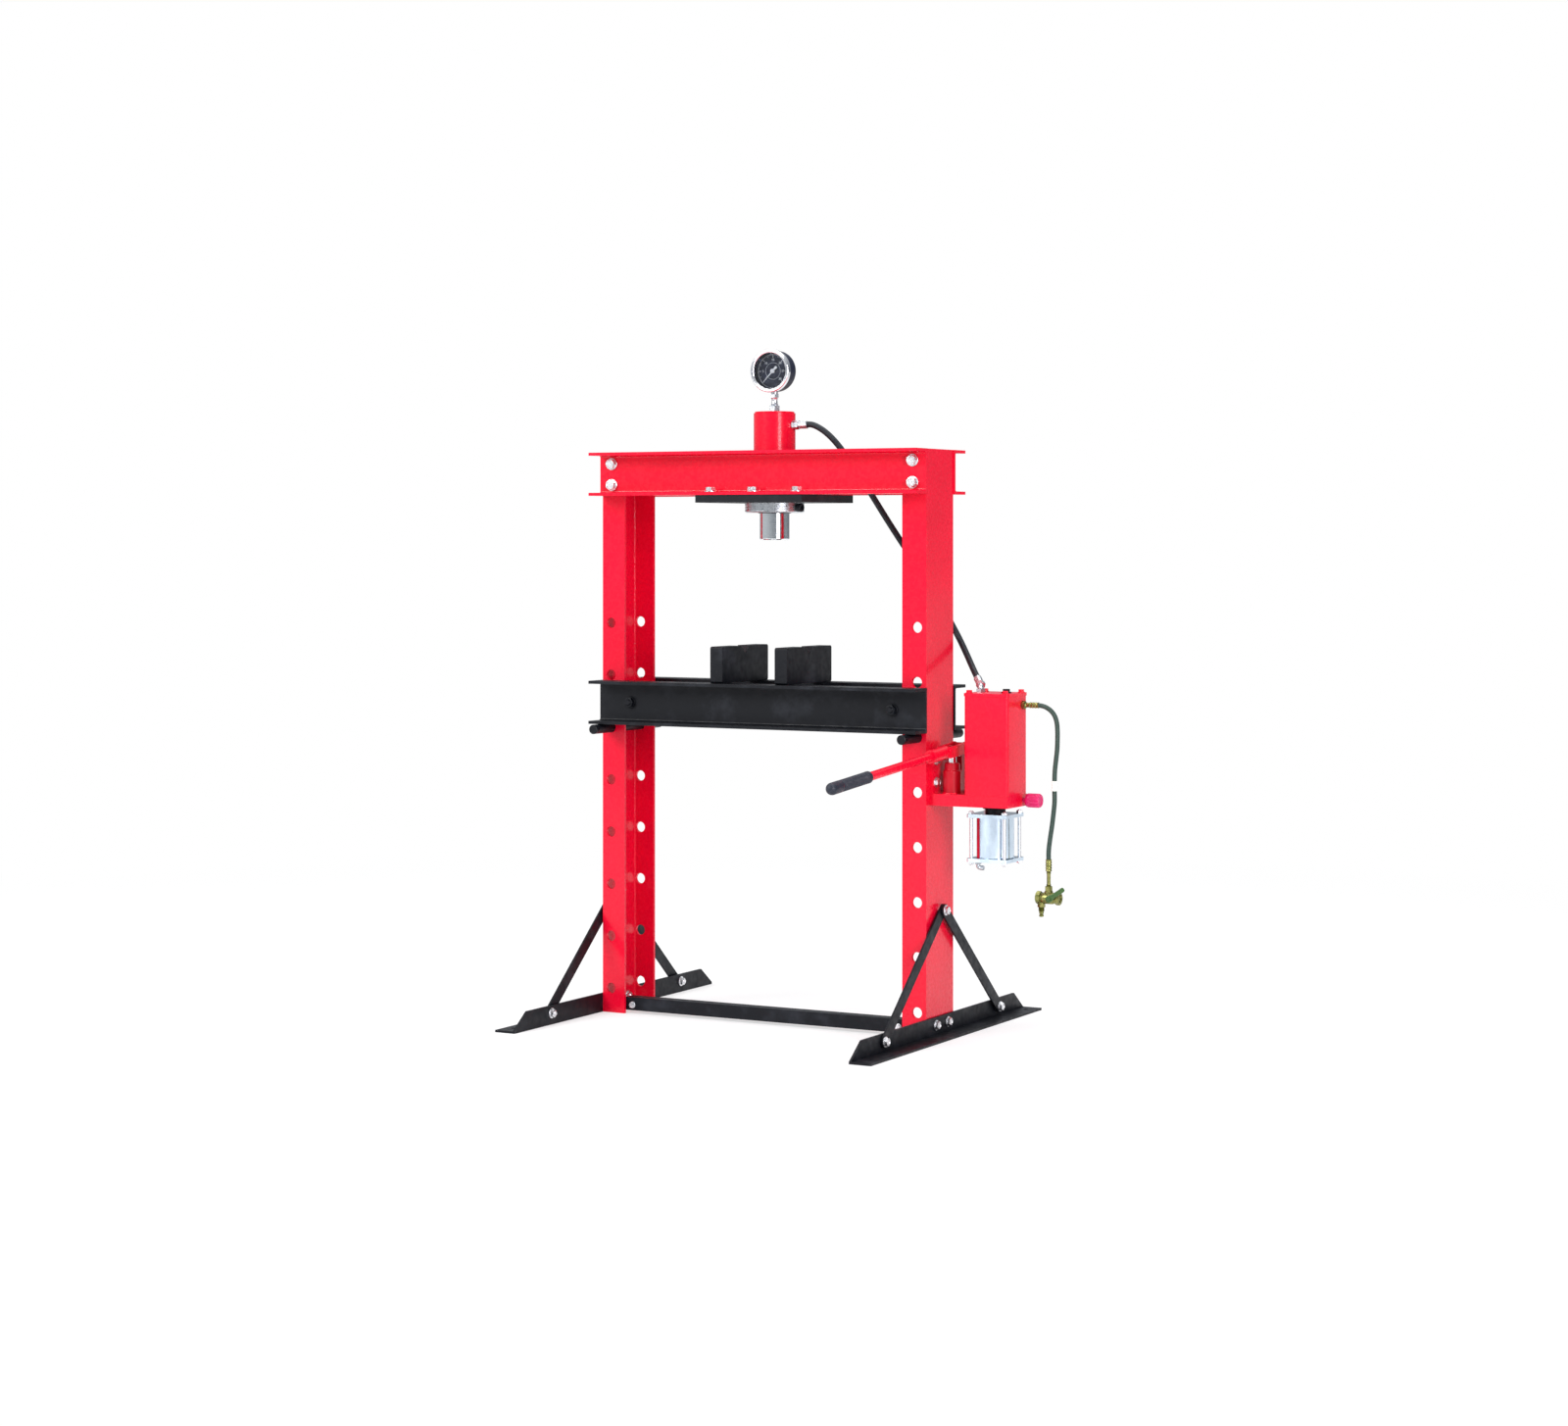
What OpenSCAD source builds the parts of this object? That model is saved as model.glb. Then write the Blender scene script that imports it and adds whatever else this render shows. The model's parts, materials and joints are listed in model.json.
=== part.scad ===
// Hydraulic shop press: a two-column frame with a pinned bed, a ram in the head,
// and a hand and air driven pump on the right-hand column.
// Millimetres. Origin on the floor under the middle of the frame, +Z up, front at -Y.

/* [Frame] */
// Width across the outer faces of the two uprights
frame_w = 964; // [800:1:1200]
// Height from the floor to the top of the beams
frame_h = 1500; // [1350:1:1850]
// Depth of an upright channel, front to back
upright_depth = 160; // [135:1:200]
// Width of an upright channel's flanges
upright_flange = 68; // [60:1:84]
// Wall of every channel
channel_wall = 8; // [6:0.5:10]
// Root radius inside every channel
channel_root = 5; // [3:1:8]

/* [Beams and bed] */
// Height of the beam and bed channels
beam_h = 115; // [95:1:140]
// Width of the beam and bed channels' flanges
beam_flange = 68; // [60:1:84]
// How far beams and bed run past the uprights' outer faces
beam_overhang = 3; // [0:1:10]
// Running gap between the bed channels and the uprights
bed_gap = 1; // [0.5:0.1:3]
// Distance from the uprights' inner edges to the bed's spacer tubes
spacer_inset = 24; // [16:1:60]
// Outside radius of a bed spacer tube
spacer_r = 14; // [12:1:18]

/* [Pin holes] */
// Radius of the bed pin holes
hole_r = 14; // [11:0.5:16]
// Height of the lowest pin hole
hole_first_z = 65; // [50:1:90]
// Height from one pin hole to the next
hole_pitch = 140; // [110:1:150]
// Number of pin holes in each flange
hole_count = 8; // [5:1:8]
// Distance from an upright's outer face to the pin holes
hole_inset = 26; // [26:1:34]
// Number of the hole that carries the bed, counted from the floor
bed_hole = 6; // [3:1:6]
// How much thinner in radius a bed pin is than its hole
pin_play = 1.5; // [0.5:0.1:2]
// How far a bed pin stands out past the bed's flanges
pin_out = 24; // [10:1:40]

/* [V blocks] */
// Thickness of a V block, left to right
block_t = 37; // [25:1:50]
// Length of a V block, front to back
block_len = 250; // [200:1:290]
// Height of a V block
block_h = 96; // [60:1:115]
// Clear space between the two V blocks
block_space = 155; // [60:1:240]
// Distance of the blocks' middle from the ram's axis
block_shift = -10; // [-60:1:60]
// Half width of the notch in a V block
notch_half = 24; // [12:1:40]
// Depth of the notch in a V block
notch_deep = 20; // [10:1:40]

/* [Feet and braces] */
// Length of a foot, front to back
foot_len = 1020; // [820:1:1300]
// Width of a foot's flat leg
foot_leg = 60; // [50:1:80]
// Height of a foot's standing leg
foot_leg_h = 50; // [44:1:70]
// Wall of a foot
foot_wall = 6; // [4:0.5:8]
// Length of the sloped clip at each end of the standing leg
foot_clip = 60; // [20:1:90]
// Distance of the floor anchor holes from a foot's ends
anchor_inset = 45; // [30:1:80]
// Radius of the floor anchor holes
anchor_r = 7; // [5:0.5:9]
// Distance of a brace's lower bolt from the upright's middle
brace_run = 335; // [240:1:380]
// Height of the bolt at the top of the braces
brace_top_z = 320; // [220:1:420]
// Width of a brace
brace_w = 32; // [26:1:40]
// Thickness of a brace
brace_t = 5; // [4:0.5:8]
// Width of the tie bar's legs
tie_w = 35; // [30:1:45]

/* [Head] */
// Width of the head plate, left to right
plate_w = 316; // [260:1:420]
// Thickness of the head plate
plate_t = 20; // [14:1:30]
// Height of the collar under the head plate
collar_h = 26; // [18:1:36]
// Radius of the collar
collar_r = 78; // [64:1:95]
// Outside radius of the cylinder
barrel_r = 55; // [50:0.5:62]
// Bore radius of the cylinder
bore_r = 45; // [43:0.5:48]
// Radius of the ram
ram_r = 39; // [30:0.5:39]
// How far the cylinder stands above the beams
barrel_rise = 101; // [60:1:180]
// How far the ram's face hangs below the beams
ram_drop = 118; // [90:1:160]

/* [Gauge] */
// Radius of the gauge case
gauge_r = 54; // [40:1:70]
// Depth of the gauge case
gauge_deep = 52; // [40:1:66]
// Length of the stem under the gauge
stem_h = 53; // [35:1:90]
// Turn of the gauge's face towards the right
gauge_turn = 0; // [-20:1:40]

/* [Pump] */
// Height of the underside of the pump's base
pump_z = 592; // [500:1:640]
// Thickness of the pump's base
base_t = 30; // [22:1:45]
// Half depth of the pump, front to back
pump_half_d = 60; // [50:1:75]
// Distance from the upright to the tank
tank_x = 95; // [90:1:120]
// Width of the tank
tank_w = 122; // [110:1:160]
// Height of the tank
tank_h = 250; // [180:1:320]
// Wall of the tank
tank_wall = 3; // [2:0.5:5]
// Radius of the pump barrel
pump_barrel_r = 24; // [20:1:27]
// Distance from the upright to the pump barrel's axis
pump_barrel_x = 42; // [40:1:44]
// Radius of the plunger
plunger_r = 11; // [8:0.5:12]

/* [Handle] */
// Length of the handle from its pivot to the end of the grip
handle_len = 725; // [500:1:900]
// Length of the grip
grip_len = 205; // [120:1:260]
// Radius of the handle's bar
bar_r = 11; // [8:0.5:13]
// Radius of the grip
grip_r = 15; // [12:0.5:20]
// Slope of the handle at rest, in degrees below level
handle_slope = 4.5; // [0:0.5:10]

/* [Air motor] */
// Side of the motor's square end plates
motor_side = 112; // [100:1:130]
// Thickness of the end plates
motor_plate_t = 9; // [6:0.5:14]
// Outside radius of the motor's tube
motor_tube_r = 48; // [36:0.5:50]
// Length of the motor's tube
motor_tube_h = 103; // [90:1:140]
// Height of the neck above the motor
neck_h = 18; // [12:1:30]

/* [Hoses] */
// Outside radius of the hydraulic hose
oil_hose_r = 8; // [6:0.5:10]
// Outside radius of the air hose
air_hose_r = 6; // [4:0.5:7]

/* [Hidden] */
$fn = 64;

// Gap between pieces that run in each other
run_gap = 0.3;
// Paint gap between plates that lie on each other
paint_gap = 0.2;
// Overlap of bodies that are joined into one piece
weld = 1;

half_w = frame_w / 2;
half_d = upright_depth / 2;
beam_len = frame_w + 2 * beam_overhang;
beam_z = frame_h - beam_h;
bed_web_y = half_d + bed_gap;
flange_mid_x = half_w - upright_flange / 2;
beam_flange_mid_y = half_d + (channel_wall + beam_flange) / 2;

// Fasteners: shank radius, hexagon radius, head height, washer radius, washer thickness
big_bolt = [8, 14, 10, 16, 3];
mid_bolt = [6, 11, 7.5, 13.5, 2.5];
small_bolt = [4, 7.5, 6, 9, 1.5];
bolt_play = 0.5;
beam_bolt_rise = beam_h / 2 - channel_wall - channel_root - big_bolt[3] - 0.5;

pin_r = hole_r - pin_play;
bed_hole_z = hole_first_z + (bed_hole - 1) * hole_pitch;
pin_z = bed_hole_z - pin_play + run_gap;
pin_x = half_w - hole_inset;
pin_half = bed_web_y + beam_flange + pin_out;
bed_z = pin_z + pin_r + run_gap;
bed_top = bed_z + beam_h;
spacer_x = half_w - upright_flange - spacer_inset;

leg_bolt_z = foot_leg_h * 0.6;
web_bolt_y = 35;
anchor_x = half_w + foot_wall + (foot_leg - foot_wall) / 2;
anchor_y = foot_len / 2 - anchor_inset;
lug_t = 8;
lug_reach = 94;
lug_y = -half_d + channel_wall + 10;
tie_wall = 5;
tie_z = 8;
tie_bolt_x = half_w - upright_flange - 17;
tie_half = half_w - upright_flange + 4;

plate_half_d = half_d + beam_flange - 3;
plate_bolt_x = plate_w / 2 - 30;
nose_r = barrel_r - 7;
barrel_top = frame_h + barrel_rise;
nose_z = beam_z - plate_t - collar_h;
cap_t = 20;
cap_rim = 4;
port_z = barrel_top - 32;
port_r = 6;
ram_z = beam_z - ram_drop;
piston_t = 28;
piston_z = port_z - port_r - 9 - piston_t;
ram_core_r = 22;
ram_floor = 23;
lip_h = 8;
spring_r = 15;
spring_wire = 2;
spring_turns = 14;
spring_boss = 12;

stem_z = barrel_top + cap_rim;
gauge_z = stem_z + stem_h + gauge_r;
gauge_back = gauge_deep / 2;
gauge_wall = 4;
dial_z = gauge_deep - 18;
lens_z = gauge_deep - 4;

base_top = pump_z + base_t;
tank_mid_x = half_w + tank_x + tank_w / 2;
tank_top = base_top + tank_h;
tank_round = 9;
lid_t = 8;
lid_bolt_inset = 11;
bracket_t = 9;
bracket_h = 132;
bracket_bolt_y = 42;
bracket_bolt_z = [pump_z + base_t + 28, pump_z + bracket_h - 17];
barrel_x = half_w + pump_barrel_x;
pump_barrel_h = 78;
pivot_y = 30;
pivot_z = pump_z + 143;
arm = 45;
cheek_gap = 12.5;
cheek_t = 8;
pivot_r = 6;
link_r = 5;
plunger_y = pivot_y - arm * cos(handle_slope);
link_z = pivot_z - arm * sin(handle_slope);
socket_from = 80;
socket_len = 95;

motor_top = pump_z - neck_h;
tube_top = motor_top - motor_plate_t;
tube_z = tube_top - motor_tube_h;
motor_wall = 3;
motor_rod_r = 4.5;
motor_rod_at = motor_side / 2 - 10;
drive_r = 8;

knob_y = 38;
knob_z = pump_z + base_t / 2;
air_port_y = 30;
air_port_z = pump_z + 257;

// Route of the hydraulic hose, from the cylinder's port to the pump
oil_route = [
    [84, 0, 1569], [112, 0, 1569], [140, 2, 1556], [166, 5, 1535], [190, 9, 1508],
    [214, 14, 1474], [238, 20, 1438], [262, 28, 1400], [285, 40, 1358], [308, 55, 1314],
    [332, 73, 1268], [356, 93, 1222], [380, 111, 1176], [404, 123, 1131], [430, 128, 1088],
    [458, 125, 1046], [486, 114, 1007], [512, 97, 973], [536, 77, 944], [558, 56, 921],
    [573, 41, 907]
];
// Route of the air hose, from the tank down to the valve's nipple
air_route = [
    [733, 30, 849], [744, 30, 849], [761, 30, 846], [777, 30, 837], [788, 30, 824],
    [794, 30, 807], [796, 30, 786], [796, 30, 764], [795, 30, 738], [792, 30, 712],
    [789, 30, 686], [788, 30, 659], [788, 30, 634], [788, 30, 606], [785, 30, 576],
    [781, 30, 545], [776, 30, 514], [772, 30, 482], [772, 30, 451]
];
oil_end = oil_route[len(oil_route) - 1];
oil_end_dir = unit(oil_end - oil_route[len(oil_route) - 2]);
air_start = air_route[0];
joint_low = [788, 30, 634];
joint_top = [788, 30, 659];
air_end = air_route[len(air_route) - 1];
valve_z = air_end[2] - 88;
valve_x = air_end[0];
valve_y = air_end[1];
valve_r = 15;
plug_x = -20;
plug_r = 6;
lever_tilt = 34;

function unit(v) = v / norm(v);

// Direction of a route at one of its points
function heading(route, i) =
    unit(route[min(i + 1, len(route) - 1)] - route[max(i - 1, 0)]);

// Two directions across a heading, the first one level
function side_of(h) = unit(cross(abs(h[2]) > 0.9 ? [0, 1, 0] : [0, 0, 1], h));

// Ring of points round a place on a route
function ring(at, h, r, sides) =
    let (u = side_of(h), v = cross(h, u))
    [for (k = [0 : sides - 1]) let (a = 360 * k / sides) at + r * (cos(a) * u + sin(a) * v)];

// Tube of radius r swept along a route
module tube_along(route, r, sides) {
    n = len(route);
    points = [for (i = [0 : n - 1]) each ring(route[i], heading(route, i), r, sides)];
    walls = [for (i = [0 : n - 2], k = [0 : sides - 1])
        let (a = i * sides + k, b = i * sides + (k + 1) % sides)
        each [[a, a + sides, b], [b, a + sides, b + sides]]];
    ends = [[for (k = [0 : sides - 1]) k], [for (k = [sides - 1 : -1 : 0]) (n - 1) * sides + k]];
    polyhedron(points, concat(walls, ends));
}

// Helical wire about the Z axis
module coil_wire(coil_r, wire_r, z_low, z_high, turns) {
    steps = turns * 14;
    route = [for (i = [0 : steps]) let (a = 360 * turns * i / steps)
        [coil_r * cos(a), coil_r * sin(a), z_low + (z_high - z_low) * i / steps]];
    tube_along(route, wire_r, 6);
}

// Fills the corner at the origin between +X and +Y with a round fillet
module corner_fillet(r) {
    difference() {
        translate([-0.5, -0.5]) square(r + 0.5);
        translate([r, r]) circle(r);
    }
}

// Channel outline: web on the Y axis, flanges towards +X
module channel_outline(depth, flange, wall) {
    difference() {
        translate([0, -depth / 2]) square([flange, depth]);
        translate([wall, wall - depth / 2]) square([flange, depth - 2 * wall]);
    }
    for (side = [0, 1])
        mirror([0, side]) translate([wall, wall - depth / 2]) corner_fillet(channel_root);
}

// Rectangle with round corners, centred
module round_rect(w, d, r) {
    square([w - 2 * r, d], center = true);
    square([w, d - 2 * r], center = true);
    for (x = [-1, 1], y = [-1, 1]) translate([x * (w / 2 - r), y * (d / 2 - r)]) circle(r);
}

// Turns +Z into +X, or into +Y
module to_x() { rotate([0, 90, 0]) children(); }
module to_y() { rotate([-90, 0, 0]) children(); }

// Bolt with its washers and nut, for a grip below z = 0 and its head above it
module bolt(kind, grip, nut = true) {
    tail = nut ? grip + kind[4] + kind[2] + 4 : grip;
    translate([0, 0, -tail]) cylinder(r = kind[0], h = tail + weld);
    cylinder(r = kind[3], h = kind[4]);
    translate([0, 0, kind[4]]) cylinder(r = kind[1], h = kind[2], $fn = 6);
    if (nut) {
        translate([0, 0, -grip - kind[4]]) cylinder(r = kind[3], h = kind[4]);
        translate([0, 0, -grip - kind[4] - kind[2]]) cylinder(r = kind[1], h = kind[2], $fn = 6);
    }
}

// ---------- frame ----------

// Right-hand upright: web outside, flanges towards the middle
module upright(pump_side) {
    difference() {
        union() {
            translate([half_w, 0, 0]) mirror([1, 0, 0]) linear_extrude(frame_h)
                channel_outline(upright_depth, upright_flange, channel_wall);
            translate([half_w - channel_wall - lug_reach, lug_y, tie_z])
                cube([lug_reach + weld, lug_t, tie_w - tie_wall - 2]);
        }
        for (i = [0 : hole_count - 1])
            translate([pin_x, -half_d - 1, hole_first_z + i * hole_pitch])
                to_y() cylinder(r = hole_r, h = upright_depth + 2);
        for (z = [-1, 1])
            translate([flange_mid_x, -half_d - 1, beam_z + beam_h / 2 + z * beam_bolt_rise])
                to_y() cylinder(r = big_bolt[0] + bolt_play, h = upright_depth + 2);
        for (y = [-1, 1])
            translate([half_w - channel_wall - 1, y * web_bolt_y, leg_bolt_z])
                to_x() cylinder(r = mid_bolt[0] + bolt_play, h = channel_wall + 2);
        translate([half_w - channel_wall - 1, 0, brace_top_z])
            to_x() cylinder(r = mid_bolt[0] + bolt_play, h = channel_wall + 2);
        translate([tie_bolt_x, lug_y - 1, tie_z + tie_w * 0.42])
            to_y() cylinder(r = small_bolt[0] + bolt_play, h = lug_t + 2);
        if (pump_side)
            for (y = [-1, 1], z = bracket_bolt_z)
                translate([half_w - channel_wall - 1, y * bracket_bolt_y, z])
                    to_x() cylinder(r = mid_bolt[0] + bolt_play, h = channel_wall + 2);
    }
}

module upright_left() {
    color("crimson") mirror([1, 0, 0]) upright(false);
}

module upright_right() {
    color("crimson") upright(true);
}

// Channel along X with its web at y = web_y and its flanges towards +Y
module cross_channel(web_y, z) {
    translate([-beam_len / 2, web_y, z + beam_h / 2]) rotate([90, 0, 90])
        linear_extrude(beam_len) channel_outline(beam_h, beam_flange, channel_wall);
}

module top_beam() {
    difference() {
        cross_channel(half_d, beam_z);
        for (x = [-1, 1], z = [-1, 1])
            translate([x * flange_mid_x, half_d - 1, beam_z + beam_h / 2 + z * beam_bolt_rise])
                to_y() cylinder(r = big_bolt[0] + bolt_play, h = channel_wall + 2);
        for (x = [-1, 0, 1])
            translate([x * plate_bolt_x, beam_flange_mid_y, beam_z - 1])
                cylinder(r = big_bolt[0] + bolt_play, h = channel_wall + 2);
    }
}

module top_beam_front() {
    color("crimson") mirror([0, 1, 0]) top_beam();
}

module top_beam_rear() {
    color("crimson") top_beam();
}

module beam_bolts() {
    color("gainsboro")
        for (x = [-1, 1], y = [0, 1], z = [-1, 1])
            mirror([0, y, 0])
                translate([x * flange_mid_x, half_d + channel_wall,
                           beam_z + beam_h / 2 + z * beam_bolt_rise])
                    to_y() bolt(big_bolt, 2 * channel_wall);
}

// Right-hand foot: an angle with its standing leg on the upright's web
module foot() {
    half = foot_len / 2;
    difference() {
        union() {
            translate([half_w, -half, 0]) cube([foot_leg, foot_len, foot_wall]);
            translate([half_w, 0, 0]) rotate([90, 0, 90]) linear_extrude(foot_wall)
                polygon([[-half, 0], [half, 0], [half, foot_wall], [half - foot_clip, foot_leg_h],
                         [foot_clip - half, foot_leg_h], [-half, foot_wall]]);
        }
        for (y = [-1, 1]) {
            translate([anchor_x, y * anchor_y, -1]) cylinder(r = anchor_r, h = foot_wall + 2);
            for (at = [web_bolt_y, brace_run])
                translate([half_w - 1, y * at, leg_bolt_z])
                    to_x() cylinder(r = mid_bolt[0] + bolt_play, h = foot_wall + 2);
        }
    }
}

module foot_left() {
    color("#20242c") mirror([1, 0, 0]) foot();
}

module foot_right() {
    color("#20242c") foot();
}

// Right-hand brace, from its foot bolt on one side up to the bolt over the upright's middle
module brace(side, layer_x) {
    rise = brace_top_z - leg_bolt_z;
    long = norm([brace_run, rise]);
    slope = atan2(rise, brace_run);
    translate([half_w + layer_x, 0, 0]) rotate([90, 0, 90]) linear_extrude(brace_t)
        translate([side * brace_run, leg_bolt_z]) rotate(side > 0 ? 180 - slope : slope)
            difference() {
                union() {
                    translate([0, -brace_w / 2]) square([long, brace_w]);
                    circle(brace_w / 2);
                    translate([long, 0]) circle(brace_w / 2);
                }
                circle(mid_bolt[0] + bolt_play);
                translate([long, 0]) circle(mid_bolt[0] + bolt_play);
            }
}

module braces() {
    color("#20242c")
        for (x = [0, 1]) mirror([x, 0, 0]) {
            brace(-1, foot_wall);
            brace(1, foot_wall + brace_t + paint_gap);
        }
}

// Right-hand bolt through the leg, at a height, with its head out at layer_x
module leg_bolt(y, z, layer_x, grip, packed_from, packed_to) {
    translate([half_w + layer_x, y, z]) to_x() bolt(mid_bolt, grip);
    if (packed_to > packed_from)
        translate([half_w + packed_from, y, z])
            to_x() cylinder(r = mid_bolt[3], h = packed_to - packed_from);
}

module leg_bolts() {
    color("silver")
        for (x = [0, 1]) mirror([x, 0, 0]) {
            two = foot_wall + 2 * brace_t + paint_gap;
            for (y = [-1, 1])
                leg_bolt(y * web_bolt_y, leg_bolt_z, foot_wall, foot_wall + channel_wall, 0, 0);
            leg_bolt(0, brace_top_z, two, two + channel_wall, 0, foot_wall);
            leg_bolt(-brace_run, leg_bolt_z, foot_wall + brace_t, foot_wall + brace_t, 0, 0);
            leg_bolt(brace_run, leg_bolt_z, two, two, foot_wall, foot_wall + brace_t);
            translate([tie_bolt_x, lug_y - tie_wall, tie_z + tie_w * 0.42])
                mirror([0, 1, 0]) to_y() bolt(small_bolt, lug_t + tie_wall);
        }
}

module tie_bar() {
    color("#20242c") difference() {
        union() {
            translate([-tie_half, lug_y - tie_wall, tie_z]) cube([2 * tie_half, tie_wall, tie_w]);
            translate([-tie_half, lug_y - tie_wall, tie_z + tie_w - tie_wall])
                cube([2 * tie_half, tie_w, tie_wall]);
        }
        for (x = [-1, 1])
            translate([x * tie_bolt_x, lug_y - tie_wall - 1, tie_z + tie_w * 0.42])
                to_y() cylinder(r = small_bolt[0] + bolt_play, h = tie_wall + 2);
    }
}

// ---------- head, cylinder and ram ----------

module head_plate() {
    color("#20242c") difference() {
        translate([-plate_w / 2, -plate_half_d, beam_z - plate_t])
            cube([plate_w, 2 * plate_half_d, plate_t]);
        translate([0, 0, beam_z - plate_t - 1]) cylinder(r = nose_r + run_gap, h = plate_t + 2);
        for (x = [-1, 0, 1], y = [-1, 1])
            translate([x * plate_bolt_x, y * beam_flange_mid_y, beam_z - plate_t - 1])
                cylinder(r = big_bolt[0] + bolt_play, h = plate_t + 2);
    }
}

// Cap screws down through the beams' lower flanges into the head plate
module head_plate_bolts() {
    color("gainsboro")
        for (x = [-1, 0, 1], y = [-1, 1])
            translate([x * plate_bolt_x, y * beam_flange_mid_y, beam_z + channel_wall])
                bolt(big_bolt, channel_wall + plate_t - 2, false);
}

module cylinder_barrel() {
    color("crimson") difference() {
        rotate_extrude() polygon([
            [ram_r + 1, nose_z + lip_h], [nose_r - 3, nose_z + lip_h], [nose_r - 3, nose_z],
            [nose_r, nose_z], [nose_r, beam_z], [barrel_r, beam_z], [barrel_r, barrel_top],
            [bore_r, barrel_top], [bore_r, beam_z + 4], [ram_r + 1, beam_z + 4]]);
        translate([0, 0, port_z]) to_x() cylinder(r = port_r, h = barrel_r + 1);
    }
}

module cylinder_cap() {
    color("crimson") difference() {
        union() {
            translate([0, 0, barrel_top - cap_t]) cylinder(r = bore_r - 0.05, h = cap_t + weld);
            translate([0, 0, barrel_top]) cylinder(r = barrel_r - 3, h = cap_rim);
            translate([0, 0, barrel_top - cap_t - spring_boss])
                cylinder(r = spring_r - spring_wire - run_gap, h = spring_boss + weld);
        }
        translate([0, 0, barrel_top - cap_t - spring_boss - 1])
            cylinder(r = 4, h = cap_t + spring_boss + cap_rim + 2);
    }
}

module cylinder_collar() {
    color("#9aa4ad") difference() {
        rotate_extrude() polygon([
            [nose_r + 0.05, nose_z], [collar_r - 3, nose_z], [collar_r, nose_z + 3],
            [collar_r, beam_z - plate_t], [nose_r + 0.05, beam_z - plate_t]]);
        translate([0, 0, nose_z + collar_h / 2]) rotate([0, 0, -10]) to_x()
            cylinder(r = 7.2, h = collar_r + 1);
    }
}

// Socket screw that locks the collar on the cylinder's threaded nose
module collar_lock_screw() {
    color("#20242c") translate([0, 0, nose_z + collar_h / 2]) rotate([0, 0, -10]) to_x()
        difference() {
            union() {
                translate([0, 0, nose_r + 1]) cylinder(r = 7, h = collar_r - nose_r);
                translate([0, 0, collar_r]) cylinder(r = 11, h = 14);
            }
            translate([0, 0, collar_r + 6]) cylinder(r = 5, h = 10, $fn = 6);
        }
}

module ram_wiper() {
    color("#101010") rotate_extrude() polygon([
        [ram_r + run_gap, nose_z - 2], [ram_r + 2.5, nose_z - 2], [nose_r - 3.1, nose_z],
        [nose_r - 3.1, nose_z + lip_h - 0.1], [ram_r + run_gap, nose_z + lip_h - 0.1]]);
}

module return_spring() {
    color("#8a8f96") coil_wire(spring_r, spring_wire, ram_z + ram_floor + spring_wire + run_gap,
        barrel_top - cap_t - spring_wire - 2 * run_gap, spring_turns);
}

// Hollow ram and piston in one, with a seal groove
module ram() {
    groove = piston_z + piston_t / 2;
    piston_r = bore_r - 0.5;
    color("#c9d3da") difference() {
        rotate_extrude() polygon([
            [0, ram_z], [ram_r - 3, ram_z], [ram_r, ram_z + 3], [ram_r, piston_z],
            [piston_r, piston_z], [piston_r, groove - 4], [bore_r - 5, groove - 4],
            [bore_r - 5, groove + 4], [piston_r, groove + 4],
            [piston_r, piston_z + piston_t], [0, piston_z + piston_t]]);
        translate([0, 0, ram_z + ram_floor]) cylinder(r = ram_core_r, h = frame_h);
    }
}

module piston_seal() {
    color("#101010") translate([0, 0, piston_z + piston_t / 2 - 3.9]) difference() {
        cylinder(r = bore_r - run_gap, h = 7.8);
        translate([0, 0, -1]) cylinder(r = bore_r - 4.9, h = 10);
    }
}

// ---------- pressure gauge ----------

// Gauge frame: axis out of the dial along +Z, the case's back at z = 0
module on_gauge() {
    translate([0, 0, gauge_z]) rotate([0, 0, gauge_turn]) rotate([90, 0, 0])
        translate([0, 0, -gauge_back]) children();
}

module gauge_stem() {
    color("silver") difference() {
        union() {
            translate([0, 0, stem_z]) cylinder(r = 15, h = 16, $fn = 6);
            translate([0, 0, stem_z]) cylinder(r = 9, h = stem_h + 12);
            translate([0, 0, stem_z + stem_h - 16]) cylinder(r = 12, h = 10, $fn = 6);
            translate([0, 0, stem_z - cap_t]) cylinder(r = 3.95, h = cap_t + weld);
        }
        on_gauge() translate([0, 0, -10]) cylinder(r = gauge_r, h = gauge_deep, $fn = 96);
        on_gauge() translate([0, 0, gauge_deep - 10 - run_gap])
            cylinder(r = gauge_r + 3 + run_gap, h = gauge_deep, $fn = 96);
    }
}

module gauge_case() {
    color("#1c1e22") on_gauge() difference() {
        rotate_extrude($fn = 96) polygon([
            [0, 0], [gauge_r - 5, 0], [gauge_r, 5], [gauge_r, gauge_deep],
            [gauge_r - gauge_wall, gauge_deep], [gauge_r - gauge_wall, gauge_wall], [0, gauge_wall]]);
    }
}

module gauge_bezel() {
    color("#d9dde0") on_gauge() rotate_extrude($fn = 96) polygon([
        [gauge_r - 7, gauge_deep - 1], [gauge_r - gauge_wall - 0.1, gauge_deep - 1],
        [gauge_r - gauge_wall - 0.1, gauge_deep], [gauge_r + 0.1, gauge_deep],
        [gauge_r + 0.1, gauge_deep - 10], [gauge_r + 3, gauge_deep - 10],
        [gauge_r + 3, gauge_deep + 2], [gauge_r, gauge_deep + 5], [gauge_r - 5, gauge_deep + 5]]);
}

// Dial on its movement, with the needle's spindle
module gauge_dial() {
    color("#15171a") on_gauge() {
        translate([0, 0, dial_z - 1.5])
            cylinder(r = gauge_r - gauge_wall - 0.1, h = 1.5, $fn = 96);
        translate([0, 0, gauge_wall]) cylinder(r = 20, h = dial_z - gauge_wall - 1);
        translate([0, 0, dial_z - 1]) cylinder(r = 1.5, h = 6);
    }
}

module gauge_lens() {
    color("#d8ecf4") on_gauge() translate([0, 0, lens_z])
        cylinder(r = gauge_r - gauge_wall - 0.1, h = gauge_deep - 1 - lens_z, $fn = 96);
}

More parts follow.
